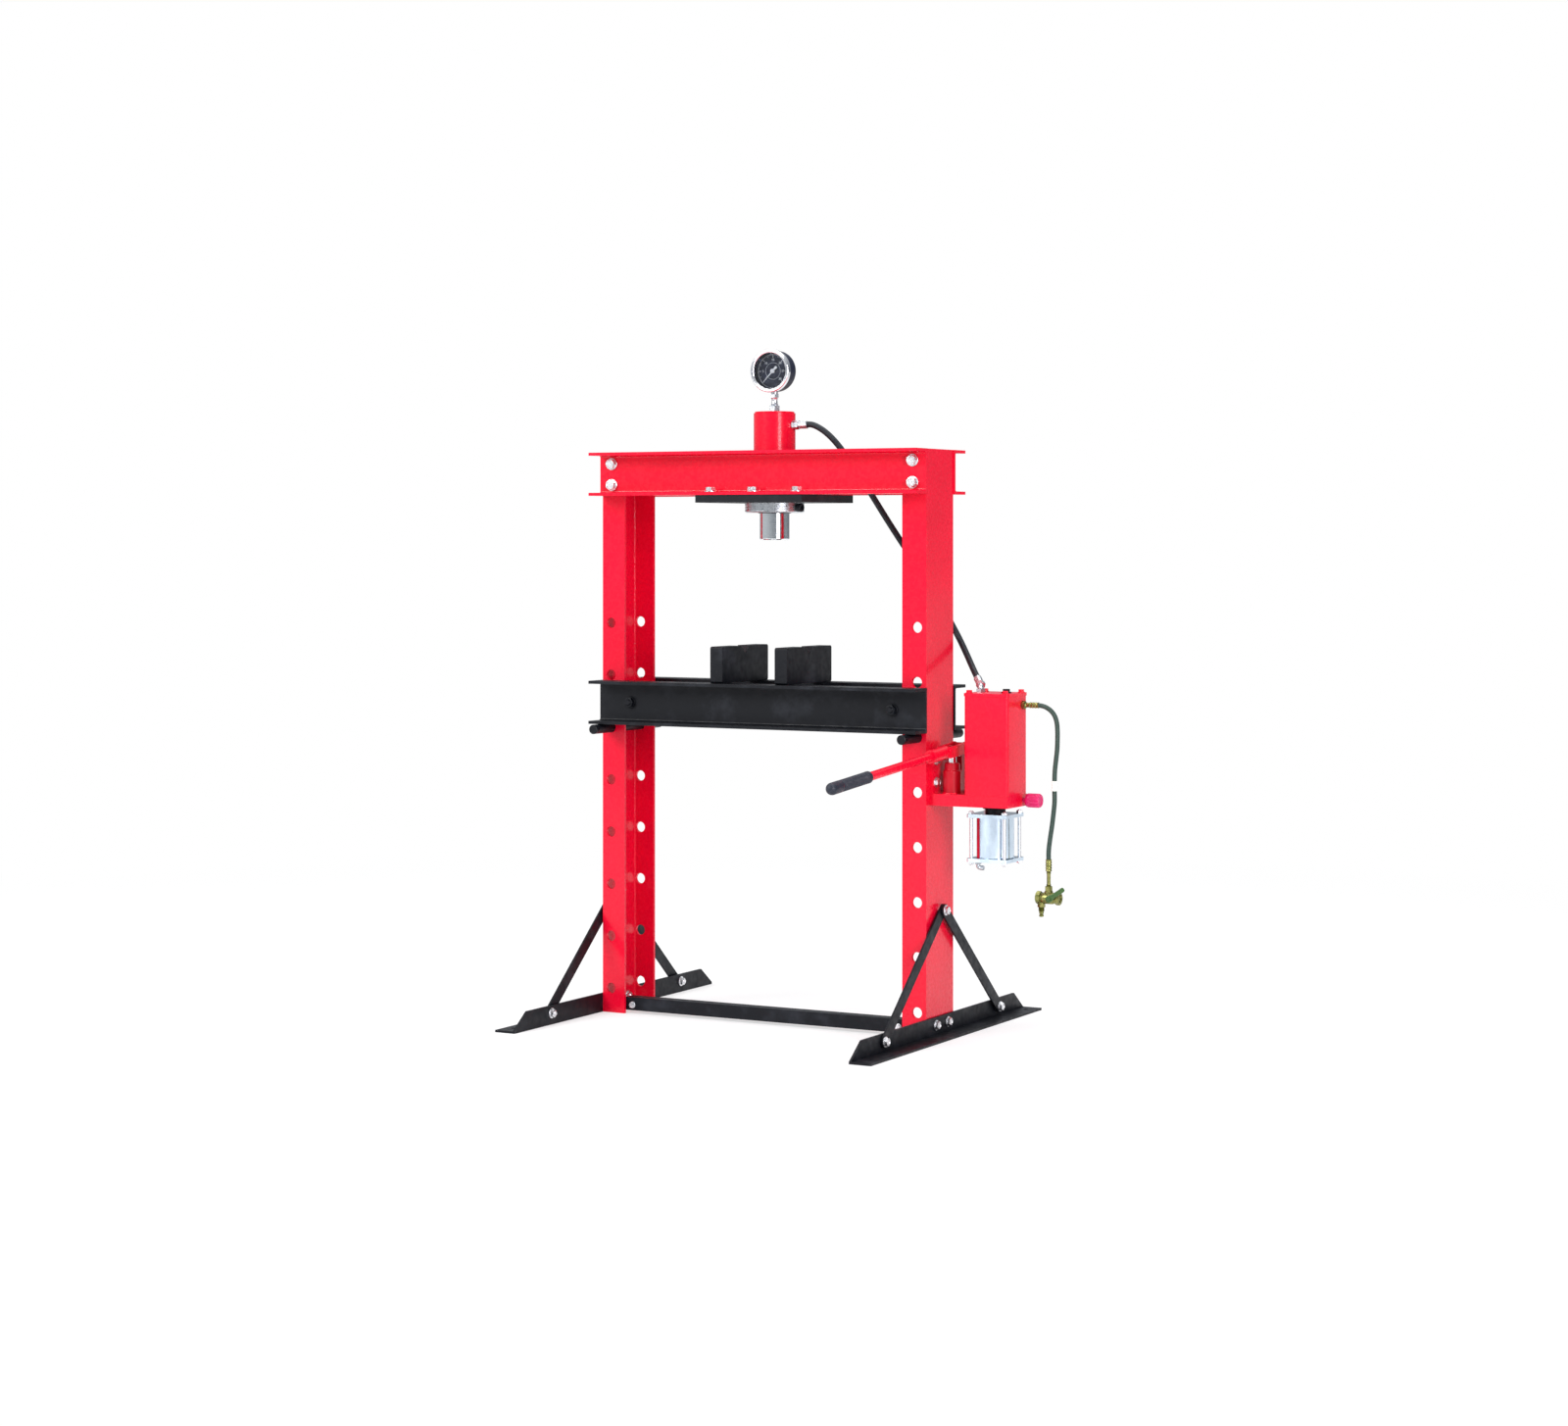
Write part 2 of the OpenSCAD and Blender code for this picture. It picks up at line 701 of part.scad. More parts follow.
// Pointer at rest on zero, down to the left of the dial
module gauge_needle() {
    color("white") on_gauge() translate([0, 0, dial_z + 1]) difference() {
        union() {
            cylinder(r = 6, h = 4);
            rotate([0, 0, 225]) linear_extrude(1.6)
                polygon([[-16, -2.6], [gauge_r - 16, -0.7], [gauge_r - 16, 0.7], [-16, 2.6]]);
        }
        translate([0, 0, -1]) cylinder(r = 1.8, h = 6);
    }
}

// ---------- bed, pins and V blocks ----------

module bed_channel() {
    difference() {
        cross_channel(bed_web_y, bed_z);
        for (x = [-1, 1])
            translate([x * spacer_x, bed_web_y - 1, bed_z + beam_h / 2])
                to_y() cylinder(r = big_bolt[0] + bolt_play, h = channel_wall + 2);
    }
}

module bed_channel_front() {
    color("#16191f") mirror([0, 1, 0]) bed_channel();
}

module bed_channel_rear() {
    color("#16191f") bed_channel();
}

// Spacer tubes between the bed channels, each on its through bolt
module bed_spacers() {
    color("#2a2e35")
        for (x = [-1, 1]) translate([x * spacer_x, 0, bed_z + beam_h / 2]) {
            translate([0, -bed_web_y, 0]) to_y() cylinder(r = spacer_r, h = 2 * bed_web_y);
            translate([0, bed_web_y + channel_wall, 0])
                to_y() bolt(big_bolt, 2 * (bed_web_y + channel_wall));
        }
}

module bed_pin(side) {
    translate([side * pin_x, -pin_half, pin_z]) to_y() difference() {
        rotate_extrude() polygon([
            [0, 0], [pin_r - 2, 0], [pin_r, 2], [pin_r, 2 * pin_half - 2],
            [pin_r - 2, 2 * pin_half], [0, 2 * pin_half]]);
        translate([-pin_r - 1, 0, 10]) to_x() cylinder(r = 3, h = 2 * pin_r + 2);
    }
}

module bed_pin_left() {
    color("#16191f") bed_pin(-1);
}

module bed_pin_right() {
    color("#16191f") bed_pin(1);
}

// Thick plate on edge across the two bed channels, with a V in its upper edge
module v_block(x) {
    half = block_len / 2;
    edge = 4;
    translate([x - block_t / 2, 0, bed_top + run_gap]) rotate([90, 0, 90])
        linear_extrude(block_t) polygon([
            [edge - half, 0], [half - edge, 0], [half, edge], [half, block_h - edge],
            [half - edge, block_h], [notch_half, block_h], [0, block_h - notch_deep],
            [-notch_half, block_h], [edge - half, block_h], [-half, block_h - edge],
            [-half, edge]]);
}

module v_block_left() {
    color("#22262e") v_block(block_shift - (block_space + block_t) / 2);
}

module v_block_right() {
    color("#22262e") v_block(block_shift + (block_space + block_t) / 2);
}

// ---------- pump ----------

module pump_base() {
    long = tank_x + tank_w;
    color("crimson") difference() {
        union() {
            translate([half_w, -pump_half_d, pump_z]) cube([long, 2 * pump_half_d, base_t]);
            translate([half_w, -pump_half_d, pump_z]) cube([bracket_t, 2 * pump_half_d, bracket_h]);
        }
        for (y = [-1, 1], z = bracket_bolt_z)
            translate([half_w - 1, y * bracket_bolt_y, z])
                to_x() cylinder(r = mid_bolt[0] + bolt_play, h = bracket_t + 2);
        translate([tank_mid_x, 0, pump_z - 1]) cylinder(r = drive_r + run_gap, h = base_t - 3);
        translate([half_w + long - 26, knob_y, knob_z])
            to_x() cylinder(r = 6 + run_gap, h = 27);
    }
}

module pump_mount_bolts() {
    color("silver")
        for (y = [-1, 1], z = bracket_bolt_z)
            translate([half_w + bracket_t, y * bracket_bolt_y, z])
                to_x() bolt(mid_bolt, bracket_t + channel_wall);
}

module pump_barrel() {
    color("#b01628") translate([barrel_x, plunger_y, base_top]) difference() {
        rotate_extrude() polygon([
            [0, 0], [pump_barrel_r, 0], [pump_barrel_r, pump_barrel_h - 22],
            [pump_barrel_r - 4, pump_barrel_h - 18], [pump_barrel_r - 4, pump_barrel_h - 3],
            [pump_barrel_r - 7, pump_barrel_h], [0, pump_barrel_h]]);
        translate([0, 0, 18]) cylinder(r = plunger_r + run_gap, h = pump_barrel_h);
    }
}

// Post that carries the handle's pivot pin
module fulcrum_post() {
    post = cheek_gap - 0.5;
    color("#b01628") difference() {
        union() {
            translate([barrel_x - post, pivot_y - 14, base_top])
                cube([2 * post, 28, pivot_z - base_top]);
            translate([barrel_x - post, pivot_y, pivot_z]) to_x() cylinder(r = 14, h = 2 * post);
        }
        translate([barrel_x - post - 1, pivot_y, pivot_z])
            to_x() cylinder(r = pivot_r + 0.05, h = 2 * post + 2);
        translate([barrel_x, plunger_y, base_top - 1])
            cylinder(r = pump_barrel_r + 0.1, h = pump_barrel_h + 2);
    }
}

module fulcrum_pin() {
    side = cheek_gap + cheek_t + 1;
    color("silver") translate([barrel_x - side, pivot_y, pivot_z]) to_x() {
        cylinder(r = pivot_r, h = 2 * side);
        translate([0, 0, -3]) cylinder(r = pivot_r + 3, h = 3);
        translate([0, 0, 2 * side]) cylinder(r = pivot_r + 3, h = 3);
    }
}

// Plunger with a slotted head round the handle's link pin
module pump_plunger() {
    head = 11;
    color("#c9d3da") difference() {
        union() {
            translate([barrel_x, plunger_y, base_top + 26])
                cylinder(r = plunger_r, h = link_z - base_top - 26);
            translate([barrel_x - head, plunger_y - 12.5, link_z - 16])
                cube([2 * head, 39, 28]);
        }
        translate([barrel_x - head - 1, plunger_y - 6.5, link_z - 10])
            cube([2 * head + 2, 27, 16.5]);
    }
}

module pump_tank() {
    color("crimson") translate([tank_mid_x, 0, base_top]) difference() {
        linear_extrude(tank_h) round_rect(tank_w, 2 * pump_half_d, tank_round);
        translate([0, 0, tank_wall]) linear_extrude(tank_h)
            round_rect(tank_w - 2 * tank_wall, 2 * (pump_half_d - tank_wall),
                       tank_round - tank_wall);
        translate([0, air_port_y, air_port_z - base_top])
            to_x() cylinder(r = 6.5, h = tank_w);
    }
}

module tank_lid() {
    color("crimson") translate([tank_mid_x, 0, tank_top]) difference() {
        union() {
            linear_extrude(lid_t) round_rect(tank_w + 4, 2 * pump_half_d + 4, tank_round + 2);
            translate([0, 0, -8]) linear_extrude(8 + weld)
                round_rect(tank_w - 2 * tank_wall - 0.4, 2 * (pump_half_d - tank_wall) - 0.4,
                           tank_round - tank_wall - 0.2);
        }
        for (x = [-1, 1], y = [-1, 1])
            translate([x * (tank_w / 2 - lid_bolt_inset), y * (pump_half_d - lid_bolt_inset), -9])
                cylinder(r = small_bolt[0] + bolt_play, h = lid_t + 10);
        translate([tank_w / 4, 0, -9]) cylinder(r = 9.1, h = lid_t + 10);
        translate([12 - tank_w / 2, 18, -9]) cylinder(r = 6.1, h = lid_t + 10);
    }
}

module lid_bolts() {
    color("#b6bcc2")
        for (x = [-1, 1], y = [-1, 1])
            translate([tank_mid_x + x * (tank_w / 2 - lid_bolt_inset),
                       y * (pump_half_d - lid_bolt_inset), tank_top + lid_t])
                bolt(small_bolt, lid_t + 16, false);
}

module filler_plug() {
    color("#16191f") translate([tank_mid_x + tank_w / 4, 0, tank_top]) {
        translate([0, 0, -6]) cylinder(r = 9, h = lid_t + 6 + weld);
        translate([0, 0, lid_t]) cylinder(r = 13, h = 3);
        translate([0, 0, lid_t + 3]) cylinder(r = 10, h = 7, $fn = 6);
    }
}

// Release valve's screw and its fluted knob
module release_knob() {
    color("#c01850") translate([half_w + tank_x + tank_w, knob_y, knob_z]) to_x() {
        translate([0, 0, -24]) cylinder(r = 6, h = 34);
        difference() {
            translate([0, 0, 8]) rotate_extrude() polygon([
                [0, 0], [13, 0], [18, 5], [18, 36], [15, 40], [0, 40]]);
            for (a = [0 : 30 : 330]) rotate([0, 0, a])
                translate([20, 0, 16]) cylinder(r = 4, h = 40);
        }
    }
}

// ---------- handle ----------

// Handle frame: +Z along the handle away from its pivot
module on_handle() {
    translate([barrel_x, pivot_y, pivot_z]) rotate([90 + handle_slope, 0, 0]) children();
}

// Two cheeks on the pivot pin, the link pin, and the socket for the bar
module handle_socket() {
    color("crimson") on_handle() difference() {
        union() {
            for (x = [0, 1]) mirror([x, 0, 0]) translate([cheek_gap, 0, 0]) {
                to_x() cylinder(r = 16, h = cheek_t);
                translate([0, -14, 0]) cube([cheek_t, 28, socket_from + 10]);
            }
            translate([-cheek_gap - 1, 0, arm]) to_x() cylinder(r = link_r, h = 2 * cheek_gap + 2);
            translate([-cheek_gap - cheek_t, -14, socket_from])
                cube([2 * (cheek_gap + cheek_t), 28, 12]);
            translate([0, 0, socket_from + 10]) cylinder(r = bar_r + 6, h = socket_len - 10);
        }
        translate([-40, 0, 0]) to_x() cylinder(r = pivot_r + run_gap, h = 80);
        translate([0, 0, socket_from + 6]) cylinder(r = bar_r + 0.1, h = socket_len);
    }
}

module handle_bar() {
    color("crimson") on_handle() translate([0, 0, socket_from + 7])
        cylinder(r = bar_r, h = handle_len - socket_from - 7 - grip_r);
}

module handle_grip() {
    shoulder = 6;
    color("#101318") on_handle() difference() {
        translate([0, 0, handle_len - grip_len]) rotate_extrude() difference() {
            union() {
                polygon([[0, 0], [grip_r - 3, 0], [grip_r, shoulder],
                         [grip_r, grip_len - grip_r], [0, grip_len - grip_r]]);
                intersection() {
                    translate([0, grip_len - grip_r]) circle(grip_r);
                    translate([0, grip_len - grip_r - 1]) square([grip_r, grip_r + 1]);
                }
            }
        }
        translate([0, 0, handle_len - grip_len - 1])
            cylinder(r = bar_r + 0.1, h = grip_len - grip_r + 1.1);
    }
}

// ---------- air motor ----------

module motor_neck() {
    color("#16191f") translate([tank_mid_x, 0, motor_top]) difference() {
        union() {
            cylinder(r = 26, h = neck_h);
            translate([0, 0, neck_h - 6]) cylinder(r = 32, h = 6);
        }
        translate([0, 0, -1]) cylinder(r = drive_r + run_gap, h = neck_h + 2);
    }
}

module motor_end_plates() {
    color("#c9d3da") for (z = [tube_top, tube_z - motor_plate_t])
        translate([tank_mid_x, 0, z]) difference() {
            linear_extrude(motor_plate_t) round_rect(motor_side, motor_side, 8);
            for (x = [-1, 1], y = [-1, 1])
                translate([x * motor_rod_at, y * motor_rod_at, -1])
                    cylinder(r = motor_rod_r + 0.1, h = motor_plate_t + 2);
            if (z == tube_top)
                translate([0, 0, -1]) cylinder(r = drive_r + run_gap, h = motor_plate_t + 2);
            else
                translate([-34, -30, -1]) cylinder(r = 5, h = motor_plate_t + 2);
        }
}

module motor_tube() {
    color("#cfe0ea") translate([tank_mid_x, 0, tube_z]) difference() {
        cylinder(r = motor_tube_r, h = motor_tube_h);
        translate([0, 0, -1]) cylinder(r = motor_tube_r - motor_wall, h = motor_tube_h + 2);
    }
}

module motor_rods() {
    low = tube_z - motor_plate_t;
    color("silver")
        for (x = [-1, 1], y = [-1, 1])
            translate([tank_mid_x + x * motor_rod_at, y * motor_rod_at, low]) {
                translate([0, 0, -8]) cylinder(r = motor_rod_r, h = motor_top - low + 16);
                translate([0, 0, -6]) cylinder(r = 8, h = 6, $fn = 6);
                translate([0, 0, motor_top - low]) cylinder(r = 8, h = 6, $fn = 6);
            }
}

// Exhaust elbow under the lower plate
module motor_elbow() {
    color("#9aa4ad") translate([tank_mid_x - 34, -30, tube_z - motor_plate_t]) {
        cylinder(r = 4.8, h = motor_plate_t - 1);
        translate([0, 0, -7]) cylinder(r = 9, h = 7, $fn = 6);
        translate([0, 0, -22]) cylinder(r = 6.5, h = 16);
        translate([-6.5, 0, -22]) to_x() cylinder(r = 6, h = 22);
    }
}

module motor_piston() {
    color("#b8c0c8") translate([tank_mid_x, 0, tube_z + 4]) {
        cylinder(r = motor_tube_r - motor_wall - run_gap, h = 14);
        translate([0, 0, 13]) cylinder(r = drive_r, h = motor_tube_h + motor_plate_t - 11);
    }
}

// ---------- hoses and air valve ----------

// Turns +Z into a direction
module towards(d) {
    rotate([0, acos(d[2]), atan2(d[1], d[0])]) children();
}

// Crimped hose end: nut of length n behind the hose, ferrule over the hose's last part
module hose_end(hose_r, nut_r, reach) {
    translate([0, 0, -reach]) cylinder(r = nut_r, h = reach * 0.5, $fn = 6);
    translate([0, 0, -reach * 0.5 - weld]) cylinder(r = hose_r + 2, h = reach * 0.5 + weld);
}

module hose_fittings() {
    back = 22;
    pump_end = oil_end + oil_end_dir * back;
    boss = [tank_mid_x + 12 - tank_w / 2, 18, tank_top + lid_t];
    color("#8f979e") {
        translate([barrel_r, 0, port_z]) to_x() {
            translate([0, 0, -8]) cylinder(r = port_r - 0.1, h = 10);
            cylinder(r = 13, h = 8, $fn = 6);
        }
        translate(oil_route[0]) towards([1, 0, 0]) hose_end(oil_hose_r, 12, 22);
        translate(oil_end) towards(-oil_end_dir) hose_end(oil_hose_r, 12, back);
        translate(boss) {
            translate([0, 0, -6]) cylinder(r = 6, h = 8);
            cylinder(r = 12, h = 8, $fn = 6);
            cylinder(r = 8, h = 14);
        }
    }
    color("#b08d3c") translate([half_w + tank_x + tank_w, air_port_y, air_port_z]) to_x() {
        translate([0, 0, -6]) cylinder(r = 6.4, h = 7);
        cylinder(r = 11, h = 9, $fn = 6);
        cylinder(r = 7.5, h = air_start[0] - half_w - tank_x - tank_w);
    }
}

module hydraulic_hose() {
    color("#14181c") tube_along(oil_route, oil_hose_r, 12);
}

module air_hose() {
    color("#26352f") tube_along(air_route, air_hose_r, 10);
}

// Sleeve round the air hose
module hose_joiner() {
    span = joint_top - joint_low;
    color("#d8dcd4") translate(joint_low) towards(unit(span)) difference() {
        cylinder(r = air_hose_r + 2, h = norm(span));
        translate([0, 0, -1]) cylinder(r = air_hose_r + 0.1, h = norm(span) + 2);
    }
}

module air_nipple() {
    color("#b9a24a") translate([valve_x, valve_y, valve_z]) {
        translate([0, 0, valve_r + 3]) cylinder(r = 5.5, h = air_end[2] - valve_z - valve_r - 3);
        translate([0, 0, valve_r + 3]) cylinder(r = 10, h = 12, $fn = 6);
        translate([0, 0, air_end[2] - valve_z - 20]) cylinder(r = 8, h = 20);
    }
}

// Brass valve with a level body, a top boss for the nipple and a plug for the air line
module air_valve() {
    color("#7d8a3e") translate([valve_x, valve_y, valve_z]) difference() {
        union() {
            translate([-26, 0, 0]) to_x() cylinder(r = valve_r, h = 52);
            translate([-32, 0, 0]) to_x() cylinder(r = valve_r + 2, h = 12, $fn = 6);
            translate([20, 0, 0]) to_x() cylinder(r = valve_r + 2, h = 12, $fn = 6);
            cylinder(r = 11, h = valve_r + 3);
            translate([plug_x, 0, 0]) rotate([0, 180, 0]) {
                cylinder(r = 8, h = 34);
                translate([0, 0, valve_r + 1]) cylinder(r = 10, h = 8, $fn = 6);
                cylinder(r = plug_r, h = 48);
            }
            translate([10, 0, 0]) rotate([90, 0, 0]) cylinder(r = 7, h = valve_r + 5);
        }
        translate([0, 0, 2]) cylinder(r = 3, h = valve_r + 3);
    }
}

module valve_lever() {
    color("#3f6b3a") translate([valve_x + 10, valve_y - valve_r - 5.3, valve_z])
        rotate([90, 0, 0]) rotate([0, 0, lever_tilt]) difference() {
            union() {
                cylinder(r = 9, h = 5);
                linear_extrude(4) translate([0, -6]) square([44, 12]);
                translate([44, 0, 0]) cylinder(r = 6, h = 4);
            }
            translate([0, 0, 3]) cylinder(r = 4, h = 4, $fn = 6);
        }
}

upright_left();
upright_right();
top_beam_front();
top_beam_rear();
beam_bolts();
foot_left();
foot_right();
braces();
leg_bolts();
tie_bar();
head_plate();
head_plate_bolts();
cylinder_barrel();
cylinder_cap();
cylinder_collar();
collar_lock_screw();
ram_wiper();
return_spring();
ram();
piston_seal();
gauge_stem();
gauge_case();
gauge_bezel();
gauge_dial();
gauge_lens();
gauge_needle();
bed_channel_front();
bed_channel_rear();
bed_spacers();
bed_pin_left();
bed_pin_right();
v_block_left();
v_block_right();
pump_base();
pump_mount_bolts();
pump_barrel();
fulcrum_post();
fulcrum_pin();
pump_plunger();
pump_tank();
tank_lid();
lid_bolts();
filler_plug();
release_knob();
handle_socket();
handle_bar();
handle_grip();
motor_neck();
motor_end_plates();
motor_tube();
motor_rods();
motor_elbow();
motor_piston();
hose_fittings();
hydraulic_hose();
air_hose();
hose_joiner();
air_nipple();
air_valve();
valve_lever();
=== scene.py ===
import json
import math
import random

import bmesh
import bpy
from mathutils import Matrix, Vector


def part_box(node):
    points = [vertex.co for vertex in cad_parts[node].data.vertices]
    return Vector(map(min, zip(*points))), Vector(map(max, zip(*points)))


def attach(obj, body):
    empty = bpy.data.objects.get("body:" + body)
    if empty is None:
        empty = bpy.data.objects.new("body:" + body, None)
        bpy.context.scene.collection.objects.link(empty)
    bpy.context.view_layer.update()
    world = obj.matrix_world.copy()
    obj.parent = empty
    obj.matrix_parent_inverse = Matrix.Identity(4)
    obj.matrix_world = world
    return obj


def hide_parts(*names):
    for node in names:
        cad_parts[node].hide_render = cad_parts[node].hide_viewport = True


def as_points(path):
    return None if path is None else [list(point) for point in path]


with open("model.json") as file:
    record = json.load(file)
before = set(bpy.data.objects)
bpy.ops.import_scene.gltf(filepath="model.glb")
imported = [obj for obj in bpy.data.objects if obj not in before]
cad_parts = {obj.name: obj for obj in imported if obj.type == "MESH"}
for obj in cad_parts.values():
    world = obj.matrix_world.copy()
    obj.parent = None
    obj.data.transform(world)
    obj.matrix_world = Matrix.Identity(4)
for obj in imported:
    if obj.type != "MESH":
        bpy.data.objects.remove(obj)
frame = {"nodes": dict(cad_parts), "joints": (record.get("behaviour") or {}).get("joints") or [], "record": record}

scene = bpy.context.scene
nodes = frame["nodes"]
slot_of_node = {s["node"]: s["material_slot"] for s in frame["record"]["subparts"]}
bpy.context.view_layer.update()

# ---------- camera ----------


def make_camera():
    """Level camera at the photograph's angle, in front of the press and to its right."""
    azimuth, distance, height = math.radians(28.6), 8.185, 1.27
    data = bpy.data.cameras.new("camera")
    data.type = "PERSP"
    data.lens = 71.3
    data.shift_x, data.shift_y = 0.006, -0.111
    camera = bpy.data.objects.new("camera", data)
    camera.location = (distance * math.sin(azimuth), -distance * math.cos(azimuth), height)
    camera.rotation_euler = (math.pi / 2, 0, azimuth)
    scene.collection.objects.link(camera)
    scene.camera = camera


make_camera()

# ---------- node helpers for materials ----------


class Look:
    """A material that is being built: its nodes, its shader and short ways to add to them."""

    def __init__(self, name, color, rough, metal=0.0, spec=0.5):
        self.made = bpy.data.materials.new(name)
        self.made.use_nodes = True
        self.made.diffuse_color = (*color, 1)
        self.tree = self.made.node_tree
        self.shader = self.tree.nodes["Principled BSDF"]
        self.put("Base Color", (*color, 1))
        self.put("Roughness", rough)
        self.put("Metallic", metal)
        self.put("Specular IOR Level", spec)
        self.place = self.tree.nodes.new("ShaderNodeTexCoord").outputs["Object"]
        self.bumps = None

    def put(self, socket, value):
        """Sets one of the shader's inputs."""
        self.shader.inputs[socket].default_value = value

    def link(self, a, b):
        """Joins an output to an input."""
        self.tree.links.new(a, b)

    def add(self, kind, settings=(), **inputs):
        """A node with its settings, and its inputs by name as values or as other nodes' outputs."""
        node = self.tree.nodes.new("ShaderNode" + kind)
        for key, value in dict(settings).items():
            setattr(node, key, value)
        for key, value in inputs.items():
            numbered = key[0] == "i" and key[1:].isdigit()
            socket = node.inputs[int(key[1:]) if numbered else key]
            if isinstance(value, bpy.types.NodeSocket):
                self.link(value, socket)
            else:
                socket.default_value = value
        return node

    def noise(self, scale, detail=3.0, rough=0.5, stretch=(1, 1, 1)):
        """Noise of so many waves a metre, stretched along an axis where stretch is small."""
        at = self.add("Mapping", i0=self.place, i3=stretch).outputs[0]
        return self.add("TexNoise", i0=at, Scale=scale, Detail=detail, Roughness=rough).outputs["Fac"]

    def math(self, operation, a, b=0.0):
        """Output of a Math node on values or other outputs."""
        return self.add("Math", {"operation": operation}, i0=a, i1=b).outputs[0]

    def spread(self, value, low, high, to_low=0.0, to_high=1.0):
        """Maps low..high of a value on to_low..to_high, without going past them."""
        return self.add("MapRange", i0=value, i1=low, i2=high, i3=to_low, i4=to_high).outputs[0]

    def mix(self, share, a, b):
        """Mix of two colours."""
        node = self.add("Mix", {"data_type": "RGBA"}, i0=share)
        for socket, value in ((node.inputs[6], a), (node.inputs[7], b)):
            if isinstance(value, bpy.types.NodeSocket):
                self.link(value, socket)
            else:
                socket.default_value = (*value, 1)
        return node.outputs[2]

    def color(self, output):
        """Drives the base colour."""
        self.link(output, self.shader.inputs["Base Color"])

    def rough(self, output):
        """Drives the roughness."""
        self.link(output, self.shader.inputs["Roughness"])

    def uneven(self, scale, detail, low, high):
        """Roughness that drifts between two values."""
        self.rough(self.spread(self.noise(scale, detail), 0.3, 0.7, low, high))

    def bump(self, height, depth, strength):
        """Adds a bump of so many metres, on top of the bumps that are there."""
        node = self.add("Bump", Height=height, Distance=depth, Strength=strength)
        if self.bumps:
            self.link(self.bumps, node.inputs["Normal"])
        self.bumps = node.outputs[0]
        self.link(self.bumps, self.shader.inputs["Normal"])

    def grain(self, scale, detail, depth, strength):
        """Bump of even noise."""
        self.bump(self.noise(scale, detail), depth, strength)

    def coat(self, weight, rough):
        """Clear coat on top of the colour."""
        self.put("Coat Weight", weight)
        self.put("Coat Roughness", rough)


# ---------- materials ----------


def enamel(name, color, deep, peel=0.00002, gloss=0.2):
    """Sprayed gloss enamel: orange peel, slow drift of shade, a little dust that dulls it."""
    look = Look(name, color, gloss, spec=0.2)
    drift = look.noise(5, 2)
    cloud = look.noise(38, 4)
    shade = look.mix(look.spread(drift, 0.3, 0.7, 0.0, 0.5), color, deep)
    look.color(look.mix(look.spread(cloud, 0.55, 0.8, 0.0, 0.22), shade, deep))
    look.rough(look.spread(look.noise(95, 5), 0.3, 0.75, gloss, gloss + 0.16))
    look.grain(240, 2, peel, 0.3)
    look.grain(1500, 2, peel * 0.1, 0.5)
    look.coat(0.2, 0.08)
    return look.made


def powder_coat(name, color, worn, peel=0.00005):
    """Satin black powder coat: pebbled, with rubbed and dusty places."""
    look = Look(name, color, 0.42, spec=0.22)
    rubbed = look.spread(look.noise(14, 6, 0.62), 0.5, 0.72)
    dust = look.spread(look.noise(120, 5, 0.7), 0.58, 0.8, 0.0, 0.35)
    look.color(look.mix(dust, look.mix(rubbed, color, worn), worn))
    look.uneven(60, 5, 0.34, 0.56)
    look.grain(900, 2, peel, 0.75)
    look.grain(260, 2, peel, 0.5)
    return look.made


def plated_steel(name, color, tint):
    """Bright zinc plate: grainy crystals with a faint change of tint."""
    look = Look(name, color, 0.28, metal=1.0)
    cells = look.add("TexVoronoi", i0=look.place, Scale=420).outputs["Color"]
    patch = look.spread(look.add("SeparateColor", i0=cells).outputs[0], 0.0, 1.0, 0.0, 0.4)
    look.color(look.mix(look.math("MULTIPLY", patch, look.noise(60)), color, tint))
    look.uneven(300, 4, 0.2, 0.4)
    look.grain(1400, 3, 0.00006, 0.6)
    return look.made


def ground_chrome(name, color, smear):
    """Hard chrome on a ground rod: fine grinding lines round it and a smear of oil."""
    look = Look(name, color, 0.08, metal=1.0)
    lines = look.noise(900, 3, 0.6, (0.03, 0.03, 1))
    oil = look.spread(look.noise(18, 5, 0.6, (1, 1, 0.35)), 0.5, 0.75)
    look.color(look.mix(oil, color, smear))
    streaks = look.math("ADD", lines, look.math("MULTIPLY", oil, 0.4))
    look.rough(look.spread(streaks, 0.3, 0.9, 0.05, 0.24))
    look.bump(lines, 0.00003, 0.5)
    return look.made


def turned_steel(name, color, dark, rough=0.3):
    """Turned steel: tool marks round the axis, oil-darkened in patches."""
    look = Look(name, color, rough, metal=1.0)
    marks = look.noise(1600, 2, 0.5, (0.08, 0.08, 1))
    oil = look.spread(look.noise(45, 5, 0.6), 0.45, 0.75, 0.0, 0.75)
    look.color(look.mix(oil, color, dark))
    look.uneven(220, 4, rough - 0.08, rough + 0.14)
    look.bump(marks, 0.00005, 0.7)
    return look.made


def rubber(name, color, chalk):
    """Rubber: a fine grain, chalky and scuffed in places."""
    rough = 0.55
    look = Look(name, color, rough, spec=0.4)
    scuff = look.spread(look.noise(70, 6, 0.65), 0.52, 0.75, 0.0, 0.6)
    look.color(look.mix(scuff, color, chalk))
    look.uneven(160, 4, rough - 0.12, rough + 0.1)
    look.grain(1100, 3, 0.00009, 0.8)
    return look.made


